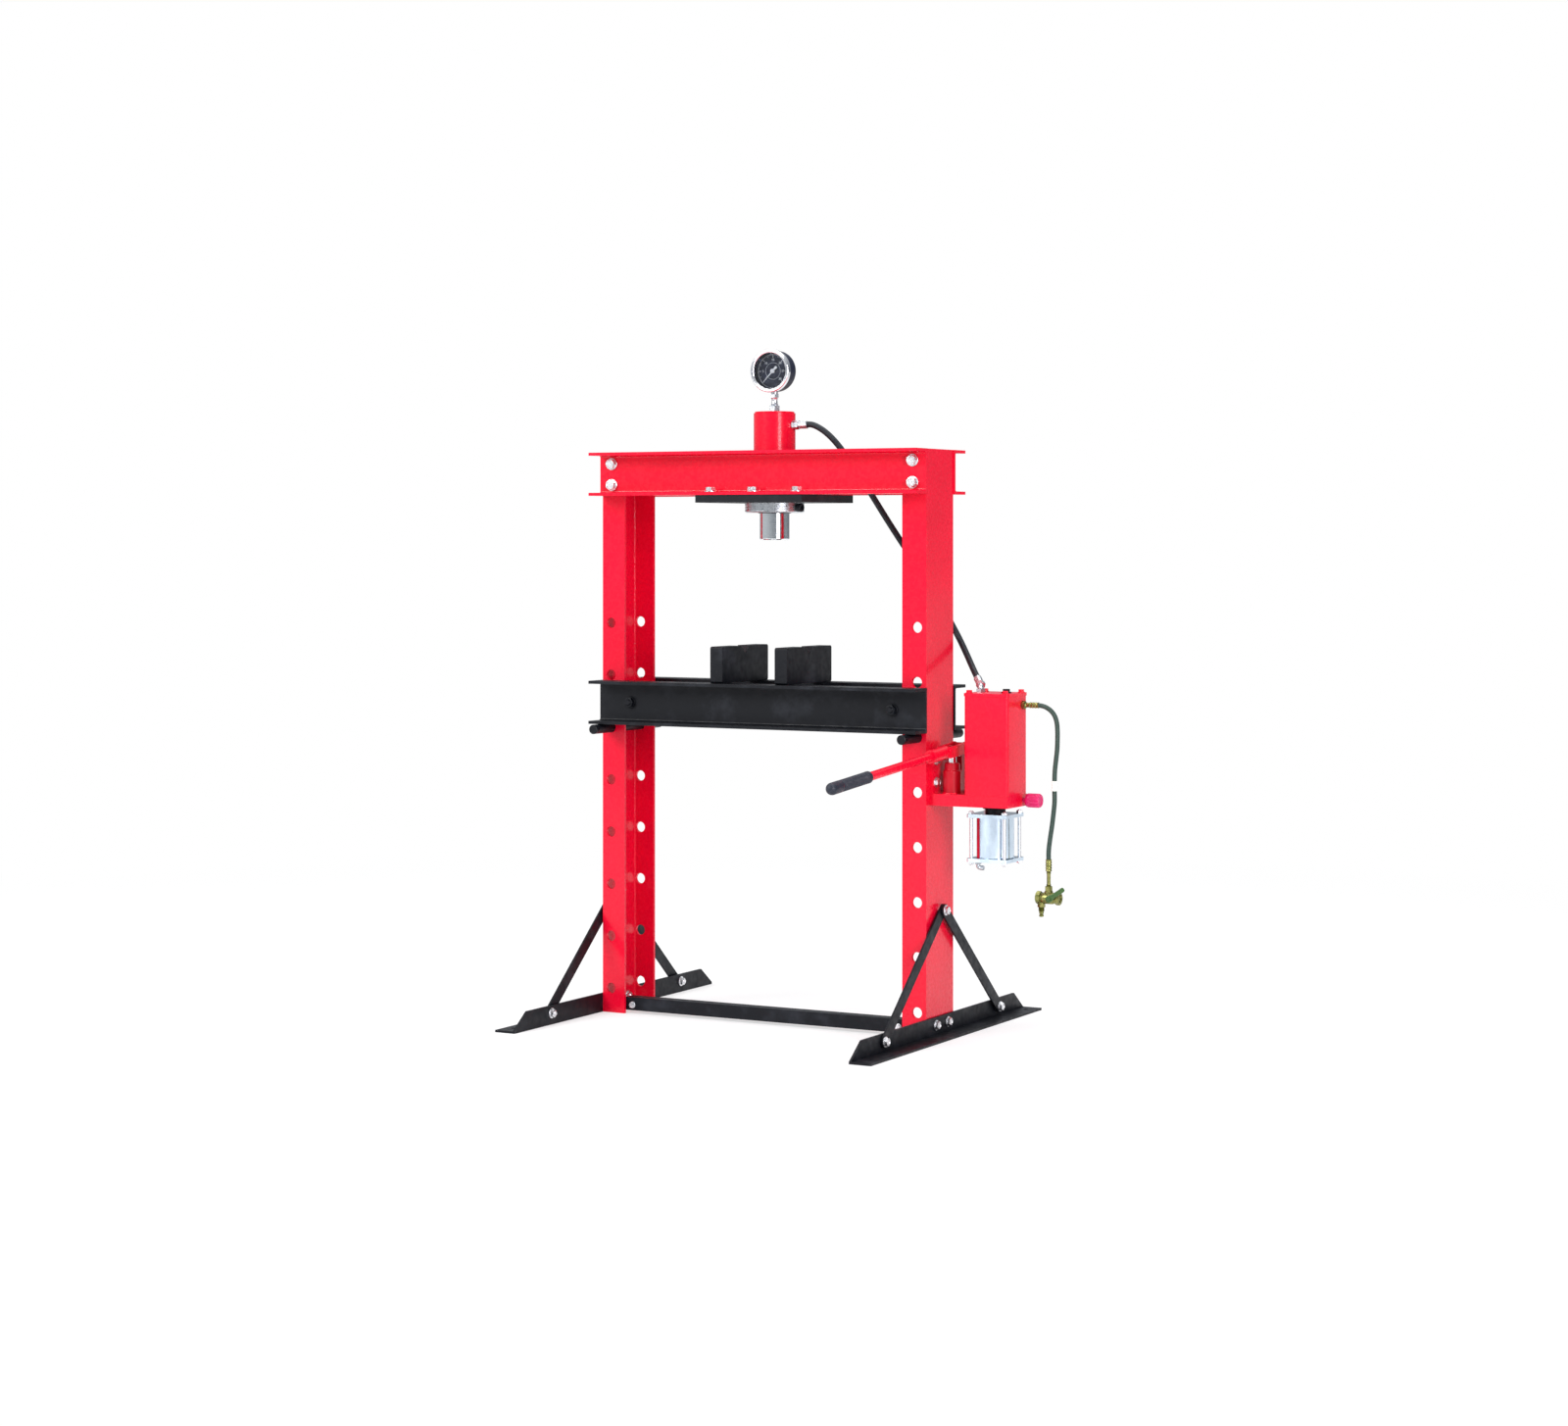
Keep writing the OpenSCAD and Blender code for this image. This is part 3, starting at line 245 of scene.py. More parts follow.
def braided(name, color, thread, pitch):
    """Hose cover with a cloth imprint: two crossing helices, from the tube's own coordinates."""
    look = Look(name, color, 0.5, spec=0.3)
    tube = look.add("Attribute", {"attribute_name": "tube"}).outputs["Vector"]
    split = look.add("SeparateXYZ", i0=tube)
    along = look.math("MULTIPLY", split.outputs[0], 1 / pitch)
    weave = None
    for hand in (1, -1):
        turn = look.math("ADD", along, look.math("MULTIPLY", split.outputs[1], 12.0 * hand))
        wave = look.math("SINE", look.math("MULTIPLY", turn, 2 * math.pi))
        weave = wave if weave is None else look.math("MAXIMUM", weave, wave)
    scuff = look.spread(look.noise(60, 6, 0.65), 0.5, 0.78, 0.0, 0.7)
    look.color(look.mix(scuff, look.mix(look.spread(weave, -0.2, 1, 0, 0.6), color, thread), thread))
    look.uneven(130, 4, 0.4, 0.62)
    look.bump(look.spread(weave, -0.6, 1.0), 0.00022, 0.8)
    look.grain(1200, 2, 0.00006, 0.5)
    return look.made


def brass(name, color, tarnish):
    """Machined brass, tarnished in patches."""
    look = Look(name, color, 0.3, metal=1.0)
    old = look.spread(look.noise(110, 6, 0.6), 0.4, 0.7, 0.0, 0.85)
    look.color(look.mix(old, color, tarnish))
    look.uneven(260, 4, 0.22, 0.48)
    look.grain(1300, 3, 0.00006, 0.6)
    return look.made


def clear_glass(name):
    """Clear glass with faint patches of haze."""
    look = Look(name, (0.96, 0.98, 1.0), 0.02)
    look.put("Transmission Weight", 1.0)
    look.put("IOR", 1.45)
    look.rough(look.spread(look.noise(40, 4), 0.4, 0.8, 0.0, 0.05))
    return look.made


def moulded(name, color, pale, rough=0.32):
    """Moulded plastic with a fine sparked grain and a few pale scuffs."""
    look = Look(name, color, rough)
    scuff = look.spread(look.noise(150, 6, 0.7), 0.6, 0.8, 0.0, 0.5)
    look.color(look.mix(scuff, color, pale))
    look.uneven(200, 4, rough - 0.06, rough + 0.14)
    look.grain(1700, 2, 0.00005, 0.7)
    return look.made


# For each slot: the function that makes its material, its two colours and other settings
RECIPES = {
    "red_paint": (enamel, (0.78, 0.002, 0.028), (0.58, 0.001, 0.018)),
    "dark_red_paint": (enamel, (0.50, 0.004, 0.018), (0.30, 0.002, 0.01), 0.0001, 0.28),
    "black_paint": (powder_coat, (0.003, 0.0038, 0.0065), (0.016, 0.018, 0.024)),
    "zinc_steel": (plated_steel, (0.78, 0.79, 0.82), (0.66, 0.66, 0.60)),
    "ram_chrome": (ground_chrome, (0.84, 0.88, 0.90), (0.62, 0.68, 0.74)),
    "turned_steel": (turned_steel, (0.62, 0.65, 0.68), (0.28, 0.31, 0.34)),
    "spring_steel": (turned_steel, (0.30, 0.31, 0.33), (0.08, 0.08, 0.09), 0.38),
    "seal_rubber": (rubber, (0.012, 0.012, 0.013), (0.04, 0.04, 0.04)),
    "gauge_black": (powder_coat, (0.008, 0.011, 0.028), (0.03, 0.037, 0.06), 0.00001),
    "gauge_chrome": (ground_chrome, (0.86, 0.87, 0.90), (0.7, 0.72, 0.76)),
    "dial_black": (powder_coat, (0.006, 0.010, 0.030), (0.012, 0.018, 0.045), 0.00001),
    "needle_white": (moulded, (0.85, 0.87, 0.90), (0.6, 0.6, 0.62), 0.4),
    "lens_glass": (clear_glass,),
    "motor_metal": (ground_chrome, (0.70, 0.82, 0.93), (0.52, 0.62, 0.74)),
    "oil_hose_rubber": (braided, (0.006, 0.009, 0.013), (0.02, 0.027, 0.034), 0.006),
    "air_hose_rubber": (braided, (0.022, 0.042, 0.033), (0.055, 0.09, 0.075), 0.004),
    "joiner_plastic": (moulded, (0.80, 0.82, 0.76), (0.5, 0.5, 0.45), 0.4),
    "brass": (brass, (0.30, 0.29, 0.10), (0.08, 0.11, 0.03)),
    "lever_green": (moulded, (0.035, 0.095, 0.018), (0.12, 0.19, 0.06)),
    "grip_rubber": (rubber, (0.010, 0.014, 0.026), (0.045, 0.05, 0.065)),
    "knob_plastic": (moulded, (0.66, 0.010, 0.13), (0.8, 0.25, 0.35)),
}
looks = {name: make(name, *settings) for name, (make, *settings) in RECIPES.items()}

# ---------- shapes ----------

TURN = 48


def mm(*values):
    """Metres from millimetres."""
    return [v / 1000 for v in values]


def circle(r, z, n=TURN):
    """Ring of points about the Z axis."""
    return [(r * math.cos(2 * math.pi * i / n), r * math.sin(2 * math.pi * i / n), z) for i in range(n)]


def aim(at, direction):
    """Frame at a point with its +Z along a direction."""
    facing = Vector(direction).to_track_quat("Z", "X").to_matrix().to_4x4()
    return Matrix.Translation(Vector(at)) @ facing


def loft(bm, rings, place=Matrix(), closed=True):
    """Skin through rings of points. A ring of one point is a pole, and open ends get a face."""
    made = [[bm.verts.new(place @ Vector(p)) for p in ring] for ring in rings]
    for a, b in zip(made, made[1:]):
        n = max(len(a), len(b))
        for i in range(n):
            j = (i + 1) % n
            corners = [a[i % len(a)], a[j % len(a)], b[j % len(b)], b[i % len(b)]]
            bm.faces.new(list(dict.fromkeys(corners)))
    if closed:
        for ring in (made[0], made[-1]):
            if len(ring) > 2:
                bm.faces.new(ring)


def turned(profile, n=TURN):
    """Rings of a turned shape from (radius, height) points; a radius of 0 is on the axis."""
    return [[(0, 0, z)] if r == 0 else circle(r, z, n) for r, z in profile]


def smooth_route(points, step):
    """Points about step apart on a smooth curve through a route."""
    p = [Vector(q) for q in points]
    p = [2 * p[0] - p[1], *p, 2 * p[-1] - p[-2]]
    line = []
    for a, b, c, d in zip(p, p[1:], p[2:], p[3:]):
        parts = max(1, round((c - b).length / step))
        for k in range(parts):
            t = k / parts
            line.append(0.5 * (2 * b + (c - a) * t + (2 * a - 5 * b + 4 * c - d) * t * t
                               + (3 * b - a - 3 * c + d) * t ** 3))
    return [*line, p[-2]]


def tube(bm, line, radius_at, n):
    """Closed tube along a line, with radius_at(distance) at each point. Returns its length."""
    side = None
    along = 0.0
    rings = []
    for i, at in enumerate(line):
        ahead = (line[min(i + 1, len(line) - 1)] - line[max(i - 1, 0)]).normalized()
        if side is None:
            side = ahead.orthogonal().normalized()
        side = (side - ahead * side.dot(ahead)).normalized()
        across = ahead.cross(side)
        if i:
            along += (at - line[i - 1]).length
        r = radius_at(along)
        rings.append([at + r * (math.cos(2 * math.pi * k / n) * side
                                + math.sin(2 * math.pi * k / n) * across) for k in range(n)])
    loft(bm, rings)
    return along


def piece(name, bm, body, slot, stands_for=(), sharp=32):
    """Turns a bmesh into a piece of the object, on its body and with its slot's material."""
    bmesh.ops.remove_doubles(bm, verts=bm.verts, dist=0.000001)
    bmesh.ops.recalc_face_normals(bm, faces=bm.faces)
    mesh = bpy.data.meshes.new(name)
    bm.to_mesh(mesh)
    bm.free()
    mesh.materials.append(looks[slot])
    mesh.shade_smooth()
    mesh.set_sharp_from_angle(angle=math.radians(sharp))
    made = bpy.data.objects.new(name, mesh)
    scene.collection.objects.link(made)
    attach(made, body)
    if stands_for:
        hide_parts(*stands_for)
    return made


def skin(name, rings, place, slot, node, body="frame", closed=True):
    """Piece made of one skin through rings of points, in place of a CAD node."""
    bm = bmesh.new()
    loft(bm, rings, place, closed)
    return piece(name, bm, body, slot, (node,))


# ---------- hoses ----------

OIL_ROUTE = [mm(*point) for point in (
    (84, 0, 1569), (112, 0, 1569), (140, 2, 1556), (166, 5, 1535), (190, 9, 1508),
    (214, 14, 1474), (238, 20, 1438), (262, 28, 1400), (285, 40, 1358), (308, 55, 1314),
    (332, 73, 1268), (356, 93, 1222), (380, 111, 1176), (404, 123, 1131), (430, 128, 1088),
    (458, 125, 1046), (486, 114, 1007), (512, 97, 973), (536, 77, 944), (558, 56, 921),
    (573, 41, 907))]
AIR_ROUTE = [mm(*point) for point in (
    (733, 30, 849), (744, 30, 849), (761, 30, 846), (777, 30, 837), (788, 30, 824),
    (794, 30, 807), (796, 30, 786), (796, 30, 764), (795, 30, 738), (792, 30, 712),
    (789, 30, 686), (788, 30, 659), (788, 30, 634), (788, 30, 606), (785, 30, 576),
    (781, 30, 545), (776, 30, 514), (772, 30, 482), (772, 30, 451))]


def hose(name, route, radius, slot, node):
    """Hose along a route, with its own coordinates for the cover's imprint."""
    step, n = 0.003, 28
    line = smooth_route(route, step)
    bm = bmesh.new()
    length = tube(bm, line, lambda s: radius, n)
    made = piece(name, bm, "frame", slot, (node,))
    layer = made.data.attributes.new("tube", "FLOAT_VECTOR", "POINT")
    spacing = length / (len(line) - 1)
    for i in range(len(line)):
        for k in range(n):
            layer.data[i * n + k].vector = (i * spacing, k / n, 0)
    return made, [tuple(p) for p in line]


oil_hose, oil_line = hose("oil_hose", OIL_ROUTE, 0.008, "oil_hose_rubber", "hydraulic_hose")
air_hose, air_line = hose("air_line", AIR_ROUTE, 0.006, "air_hose_rubber", "air_hose")

# ---------- turned and hexagonal shapes ----------


def hexagon(corner, z, slope=0.0):
    """Hexagonal ring, which rises by slope for each unit that it stands out past its flats."""
    flat = corner * math.cos(math.pi / 6)
    ring = []
    for i in range(TURN):
        a = 2 * math.pi * i / TURN
        r = flat / math.cos(a % (math.pi / 3) - math.pi / 6)
        ring.append((r * math.cos(a), r * math.sin(a), z + slope * (r - flat)))
    return ring


def hex_rings(corner, low, high):
    """Rings of a hexagon from low to high, with its corners chamfered at both ends."""
    inside = corner * math.cos(math.pi / 6) * 0.98
    return [circle(inside, low), hexagon(corner, low, 0.58), hexagon(corner, high, -0.58),
            circle(inside, high)]


def disc_rings(r, low, high, edge=0.0004):
    """Rings of a disc from low to high with broken edges."""
    return [circle(r - edge, low), circle(r, low + edge), circle(r, high - edge), circle(r - edge, high)]


def thread_rings(r, low, high, pitch):
    """Rings of a thread from low to high: crests at r, roots inside it."""
    count = max(1, round((high - low) / pitch))
    step = (high - low) / count
    rings = []
    for i in range(count):
        rings += [circle(r - 0.55 * step, low + i * step), circle(r, low + (i + 0.5) * step)]
    return [*rings, circle(r - 0.55 * step, high)]


def arc(r, z, radius, start, end, parts=6):
    """(radius, height) points of an arc about (r, z), from one angle in degrees to another."""
    turns = [math.radians(start + (end - start) * i / parts) for i in range(parts + 1)]
    return [(r + radius * math.cos(a), z + radius * math.sin(a)) for a in turns]


def pole(z):
    """Ring of one point, on the axis."""
    return [(0, 0, z)]


def islands(node):
    """Boxes, as lowest and highest corner, of a CAD node's separate solids."""
    bm = bmesh.new()
    bm.from_mesh(nodes[node].data)
    bmesh.ops.remove_doubles(bm, verts=bm.verts, dist=0.00001)
    seen, boxes = set(), []
    for first in bm.verts:
        if first in seen:
            continue
        seen.add(first)
        waiting, group = [first], []
        while waiting:
            v = waiting.pop()
            group.append(v.co.copy())
            for other in (e.other_vert(v) for e in v.link_edges):
                if other not in seen:
                    seen.add(other)
                    waiting.append(other)
        boxes.append((Vector([min(c) for c in zip(*group)]), Vector([max(c) for c in zip(*group)])))
    bm.free()
    return boxes


# ---------- bolts, nuts and washers ----------

# Shank radius, hexagon radius, head height, washer radius, washer thickness, thread pitch
BIG_BOLT = mm(8, 14, 10, 16, 3, 2)
MID_BOLT = mm(6, 11, 7.5, 13.5, 2.5, 1.75)
SMALL_BOLT = mm(4, 7.5, 6, 9, 1.5, 1.25)
# Length of thread that stands out past a nut
TAIL = 0.004
spin = random.Random(11)


def bolt(bm, place, kind, grip, nut=True, sleeve=None):
    """One skin: washer and head above z = 0, and below the grip the other washer, nut and thread."""
    shank, corner, head, ring, thick, pitch = kind
    flat = corner * math.cos(math.pi / 6)
    if nut:
        under = -grip - thick
        end = under - head - TAIL
        rings = [pole(end), circle(shank - 0.0012, end),
                 *thread_rings(shank, end + 0.0008, under - head, pitch),
                 *hex_rings(corner, under - head, under), *disc_rings(ring, under, -grip),
                 circle(shank, -grip)]
    else:
        rings = [pole(-grip), circle(shank, -grip)]
    if sleeve:
        low, high, r = sleeve
        rings += [circle(shank, low), *disc_rings(r, low, high), circle(shank, high)]
    top = thick + head
    rings += [circle(shank, 0), *disc_rings(ring, 0, thick), *hex_rings(corner, thick, top),
              circle(flat * 0.8, top), circle(flat * 0.74, top - 0.0007), pole(top - 0.0007)]
    loft(bm, rings, place @ Matrix.Rotation(spin.uniform(0, math.pi / 3), 4, "Z"))


def bolt_place(box):
    """A bolt's kind, its frame at the face under its head, and its whole length, from its box."""
    low, high = box
    size, middle = high - low, (low + high) / 2
    k = max(range(3), key=lambda i: size[i])
    half = min(size) / 2
    kind = min((BIG_BOLT, MID_BOLT, SMALL_BOLT), key=lambda b: abs(b[3] - half))
    out = Vector([0, 0, 0])
    out[k] = 1 if middle[k] > 0 else -1
    face = middle + out * (size[k] / 2 - kind[2] - kind[4])
    return kind, aim(face, out), size[k]


def bolt_group(name, node, nut=True, slot="zinc_steel", sleeve_of=None):
    """Bolts in place of a node's solids, each as large as its solid's box says."""
    bm = bmesh.new()
    for box in islands(node):
        kind, place, length = bolt_place(box)
        ends = kind[2] + kind[4]
        grip = length - 2 * ends - TAIL if nut else length - ends
        bolt(bm, place, kind, grip, nut, sleeve_of(place.translation) if sleeve_of else None)
    return piece(name, bm, "frame", slot, (node,))


def brace_packing(at):
    """Packing of a brace's bolt: on the leg as thick as the foot, at the rear as the other brace."""
    braces_x, braces_z = 0.45, 0.02
    middle_y, rear_y = 0.01, 0.2
    # Depths under the bolt's head: past the outer brace, past both braces, and at the leg
    outer, both, leg = 0.0052, 0.0102, 0.0162
    if abs(at.x) < braces_x or at.z < braces_z:
        return None
    if abs(at.y) < middle_y:
        return (-leg, -both, MID_BOLT[3])
    if at.y > rear_y:
        return (-both, -outer, MID_BOLT[3])
    return None


bolt_group("beam_bolt_set", "beam_bolts")
bolt_group("leg_bolt_set", "leg_bolts", sleeve_of=brace_packing)
bolt_group("head_plate_bolt_set", "head_plate_bolts", nut=False)
bolt_group("pump_mount_bolt_set", "pump_mount_bolts")
bolt_group("lid_bolt_set", "lid_bolts", nut=False, slot="red_paint")


def make_bed_spacers():
    """Spacer tubes between the bed channels, and the bolts through them."""
    wall, tube_r, edge = 0.008, 0.014, 0.0006
    ends = BIG_BOLT[2] + BIG_BOLT[4]
    tubes, screws = bmesh.new(), bmesh.new()
    for low, high in islands("bed_spacers"):
        middle = (low + high) / 2
        face = Vector((middle.x, high.y - ends, middle.z))
        grip = high.y - low.y - 2 * ends - TAIL
        place = aim(face, (0, 1, 0))
        bolt(screws, place, BIG_BOLT, grip)
        rings = [pole(-grip + wall), *disc_rings(tube_r, -grip + wall, -wall, edge), pole(-wall)]
        loft(tubes, rings, place)
    piece("bed_spacer_tubes", tubes, "bed", "black_paint", ("bed_spacers",))
    piece("bed_spacer_bolts", screws, "bed", "black_paint", ("bed_spacers",))


def make_motor_rods():
    """Tie rods of the air motor, with a nut and a short thread at each end."""
    bm = bmesh.new()
    r, corner, nut, tail, pitch, point = mm(4.5, 8, 6, 2, 1, 0.5)
    tip = r - 0.0008
    for low, high in islands("motor_rods"):
        x, y = (low.x + high.x) / 2, (low.y + high.y) / 2
        long = high.z - low.z
        rings = [pole(0), circle(tip, 0), *thread_rings(r, point, tail, pitch),
                 *hex_rings(corner, tail, tail + nut), circle(r, tail + nut),
                 circle(r, long - tail - nut), *hex_rings(corner, long - tail - nut, long - tail),
                 *thread_rings(r, long - tail, long - point, pitch), circle(tip, long), pole(long)]
        place = Matrix.Translation((x, y, low.z)) @ Matrix.Rotation(spin.uniform(0, 1), 4, "Z")
        loft(bm, rings, place)
    piece("motor_rod_set", bm, "frame", "zinc_steel", ("motor_rods",))


make_bed_spacers()
make_motor_rods()

# ---------- head: collar, gauge and its stem ----------


def make_collar():
    """Threaded ring on the cylinder's nose, grooved round its rim."""
    low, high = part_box("cylinder_collar")
    r, bore, edge, rim = high.x, 0.04805, 0.003, 0.0008
    grooves, deep = (0.009, 0.0155), 0.001
    profile = [(bore, low.z), (r - edge, low.z), (r, low.z + edge)]
    for up in grooves:
        z = low.z + up
        profile += [(r, z - deep), (r - deep, z), (r - deep, z + deep), (r, z + 2 * deep)]
    profile += [(r, high.z - rim), (r - rim, high.z), (bore, high.z)]
    rings = turned([*profile, profile[0]], 96)
    skin("collar_ring", rings, Matrix(), "turned_steel", "cylinder_collar", closed=False)


def make_lock_screw():
    """Socket-head screw in the collar."""
    collar_low, collar_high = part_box("cylinder_collar")
    turn = math.radians(-10)
    out = Vector((math.cos(turn), math.sin(turn), 0))
    shank, end, shank_r, head_r, socket = 0.028, 0.042, 0.007, 0.011, 0.0058
    at = Vector((0, 0, (collar_low.z + collar_high.z) / 2)) + out * (collar_high.x - shank)
    rings = [pole(0), circle(shank_r, 0), circle(shank_r, shank), *disc_rings(head_r, shank, end, 0.001)]
    rings += [hexagon(socket + 0.0004, end), hexagon(socket, end - 0.0008), hexagon(socket, end - 0.006),
              pole(end - 0.007)]
    skin("lock_screw", rings, aim(at, out), "black_paint", "collar_lock_screw")


case_low, case_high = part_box("gauge_case")
GAUGE_R = (case_high.x - case_low.x) / 2
GAUGE_DEEP = case_high.y - case_low.y
GAUGE_Z = (case_high.z + case_low.z) / 2
ON_GAUGE = Matrix.Translation((0, case_high.y, GAUGE_Z)) @ Matrix.Rotation(math.pi / 2, 4, "X")
# Height of the dial's face over the back of the case
DIAL_Z = GAUGE_DEEP - 0.018
# Where zero is on the dial, and the turn from zero to the last mark, in degrees
ZERO_AT = 225
SWEEP = 270


def make_gauge_case():
    """Pressed case with a round back edge, and its rubber blow-out plug."""
    r, deep, wall = GAUGE_R, GAUGE_DEEP, 0.004
    back = 0.011
    profile = [(0, 0.0008), (0.014, 0.0008), (0.016, 0), *arc(r - back, back, back, -90, 0, 10)]
    profile += [(r, deep - 0.013), (r - 0.0007, deep - 0.0122), (r - 0.0007, deep - 0.011),
                (r, deep - 0.0102), (r, deep), (r - wall, deep), (r - wall, wall), (0, wall)]
    skin("gauge_shell", turned(profile, 96), ON_GAUGE, "gauge_black", "gauge_case")
    plug = [(0, 0.0007), (0.009, 0.0007), (0.009, -0.0006), (0.0075, -0.0012), (0.002, -0.0012),
            (0, -0.0006)]
    bm = bmesh.new()
    loft(bm, turned(plug, 32), ON_GAUGE @ Matrix.Translation((0, 0.03, 0)))
    piece("gauge_blow_out_plug", bm, "frame", "seal_rubber")


def make_bezel():
    """Rolled chrome ring that holds the lens on the case."""
    r, deep = GAUGE_R, GAUGE_DEEP
    profile = [(r + 0.0001, deep), (r + 0.0001, deep - 0.010), (r + 0.0018, deep - 0.010),
               (r + 0.003, deep - 0.0088), *arc(r - 0.001, deep + 0.001, 0.004, 0, 90, 8),
               (r - 0.004, deep + 0.0046), (r - 0.0062, deep + 0.0030), (r - 0.0070, deep + 0.0012),
               (r - 0.007, deep - 0.001), (r - 0.0041, deep - 0.001), (r - 0.0041, deep)]
    rings = turned([*profile, profile[0]], 128)
    skin("gauge_ring", rings, ON_GAUGE, "gauge_chrome", "gauge_bezel", closed=False)


def make_lens():
    """Slightly domed lens in the bezel."""
    r, deep = GAUGE_R - 0.0041, GAUGE_DEEP
    profile = [(0, deep - 0.004), (r, deep - 0.004), (r, deep - 0.0022), (r * 0.7, deep - 0.0016),
               (r * 0.35, deep - 0.0012), (0, deep - 0.0011)]
    bm = bmesh.new()
    loft(bm, turned(profile, 96), ON_GAUGE)
    piece("gauge_window", bm, "frame", "lens_glass", ("gauge_lens",), 60)


def make_dial():
    """Dial plate with broken edges, and the end of the pointer's spindle."""
    low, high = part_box("gauge_dial")
    r, back, edge = (high.x - low.x) / 2, case_high.y - high.y, 0.0004
    spindle, out = 0.0025, DIAL_Z + 0.0009
    profile = [(0, back), (r - edge, back), (r, back + edge), (r, DIAL_Z - edge), (r - edge, DIAL_Z),
               (spindle, DIAL_Z), (spindle, out), (0, out)]
    skin("gauge_face", turned(profile, 96), ON_GAUGE, "dial_black", "gauge_dial")


def flat_bar(bm, place, long, low_half, high_half, thick):
    """Flat tapered bar along +X from the frame's origin."""
    outline = [(0, -low_half), (long, -high_half), (long, high_half), (0, low_half)]
    loft(bm, [[(x, y, z) for x, y in outline] for z in (0, thick)], place)


def numeral(bm, text, size, place, thick):
    """Raised figures, centred on the frame's origin."""
    curve = bpy.data.curves.new("numeral", "FONT")
    curve.body = text
    curve.size = size
    curve.align_x, curve.align_y = "CENTER", "CENTER"
    curve.extrude = thick
    curve.resolution_u = 3
    holder = bpy.data.objects.new("numeral", curve)
    mesh = bpy.data.meshes.new_from_object(holder)
    mesh.transform(place)
    bm.from_mesh(mesh)
    bpy.data.objects.remove(holder)
    bpy.data.meshes.remove(mesh)


def make_scale():
    """Marks and figures from 0, down to the left, clockwise through the sweep."""
    steps, thick, line = 60, 0.00025, 0.0005
    # Every so many steps: the mark's length and half of its width
    marks = ((10, 0.0085, 0.0006), (5, 0.006, 0.0004), (1, 0.0035, 0.00025))
    figure, inset = 0.0085, 0.0145
    rim = GAUGE_R - 0.010
    bm = bmesh.new()
    on_dial = ON_GAUGE @ Matrix.Translation((0, 0, DIAL_Z))
    for i in range(steps + 1):
        turn = math.radians(ZERO_AT - SWEEP * i / steps)
        every, long, half = next(m for m in marks if i % m[0] == 0)
        place = on_dial @ Matrix.Rotation(turn, 4, "Z") @ Matrix.Translation((rim - long, 0, 0))
        flat_bar(bm, place, long, half, half, thick)
        if every == marks[0][0]:
            away = rim - inset
            at = Matrix.Translation((away * math.cos(turn), away * math.sin(turn), thick / 2))
            numeral(bm, str(i // 2), figure, on_dial @ at, thick / 2)
    for r in (rim, rim - 0.0225):
        profile = [(r, 0), (r + line, 0), (r + line, thick), (r, thick), (r, 0)]
        loft(bm, turned(profile, 96), on_dial, closed=False)
    piece("gauge_scale", bm, "frame", "needle_white", sharp=20)


def make_needle():
    """Pointer on zero, with a broad tail and a domed hub."""
    bm = bmesh.new()
    place = ON_GAUGE @ Matrix.Translation((0, 0, DIAL_Z + 0.001))
    place = place @ Matrix.Rotation(math.radians(ZERO_AT), 4, "Z")
    flat_bar(bm, place @ Matrix.Translation((0, 0, 0.0006)), GAUGE_R - 0.0165, 0.0016, 0.0004, 0.001)
    tail = [(-0.004, 0.0015), (-0.012, 0.0036), (-0.0155, 0.0030), (-0.0162, 0), (-0.0155, -0.0030),
            (-0.012, -0.0036), (-0.004, -0.0015)]
    loft(bm, [[(x, y, z) for x, y in tail] for z in (0.0004, 0.0018)], place)
    hub = [(0, 0), (0.006, 0), (0.006, 0.002), *arc(0, -0.006, 0.0112, 58, 90, 5)[:-1], (0, 0.0052)]
    loft(bm, turned(hub, 40), place)
    piece("gauge_pointer", bm, "needle", "needle_white", ("gauge_needle",))


def make_stem():
    """Adapter of the gauge: two hexagons, a neck and the threads between them."""
    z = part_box("cylinder_cap")[1].z
    top = GAUGE_Z - GAUGE_R - z
    rings = [pole(-0.002), circle(0.004, -0.002), circle(0.004, 0), *hex_rings(0.015, 0, 0.016),
             *thread_rings(0.0095, 0.016, 0.021, 0.0014), circle(0.0082, 0.022),
             circle(0.0076, top - 0.022), circle(0.009, top - 0.018),
             *hex_rings(0.012, top - 0.016, top - 0.006), circle(0.009, top - 0.006),
             circle(0.009, top + 0.0012), pole(top + 0.0012)]
    skin("gauge_adapter", rings, Matrix.Translation((0, 0, z)), "turned_steel", "gauge_stem")


make_collar()
make_lock_screw()
make_gauge_case()
make_bezel()
make_lens()
make_dial()
make_scale()
make_needle()
make_stem()

# ---------- handle, knob and pump ----------

pivot = Vector(next(j["pos_m"] for j in frame["joints"] if j["name"] == "handle_swing"))
bar_low, bar_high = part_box("handle_bar")
handle_way = ((bar_low + bar_high) / 2 - pivot).normalized()
ON_HANDLE = aim(pivot, handle_way)
# Distance from the pivot to the handle's end, and the grip's length
HANDLE_END = 0.725
GRIP_LEN = 0.205


def make_grip():
    """Ribbed rubber sleeve with a collar towards the bar and a round end."""
    r, start = 0.015, HANDLE_END - GRIP_LEN
    profile = [(0, start), (0.0111, start), (0.0128, start), (r, start + 0.002), (r, start + 0.007),
               (0.0136, start + 0.010)]
    ribs, pitch = 22, 0.006
    for i in range(ribs):
        z = start + 0.014 + i * pitch
        profile += [(0.0134, z), (0.0148, z + 0.0016), (0.0148, z + 0.0034), (0.0134, z + 0.005)]
    last = start + 0.014 + ribs * pitch
    profile += [(0.0136, last + 0.002), (r, last + 0.006), (r, HANDLE_END - r),
                *arc(0, HANDLE_END - r, r, 8, 80, 8), (0.002, HANDLE_END), (0, HANDLE_END)]
    skin("handle_sleeve", turned(profile, 40), ON_HANDLE, "grip_rubber", "handle_grip", "handle")


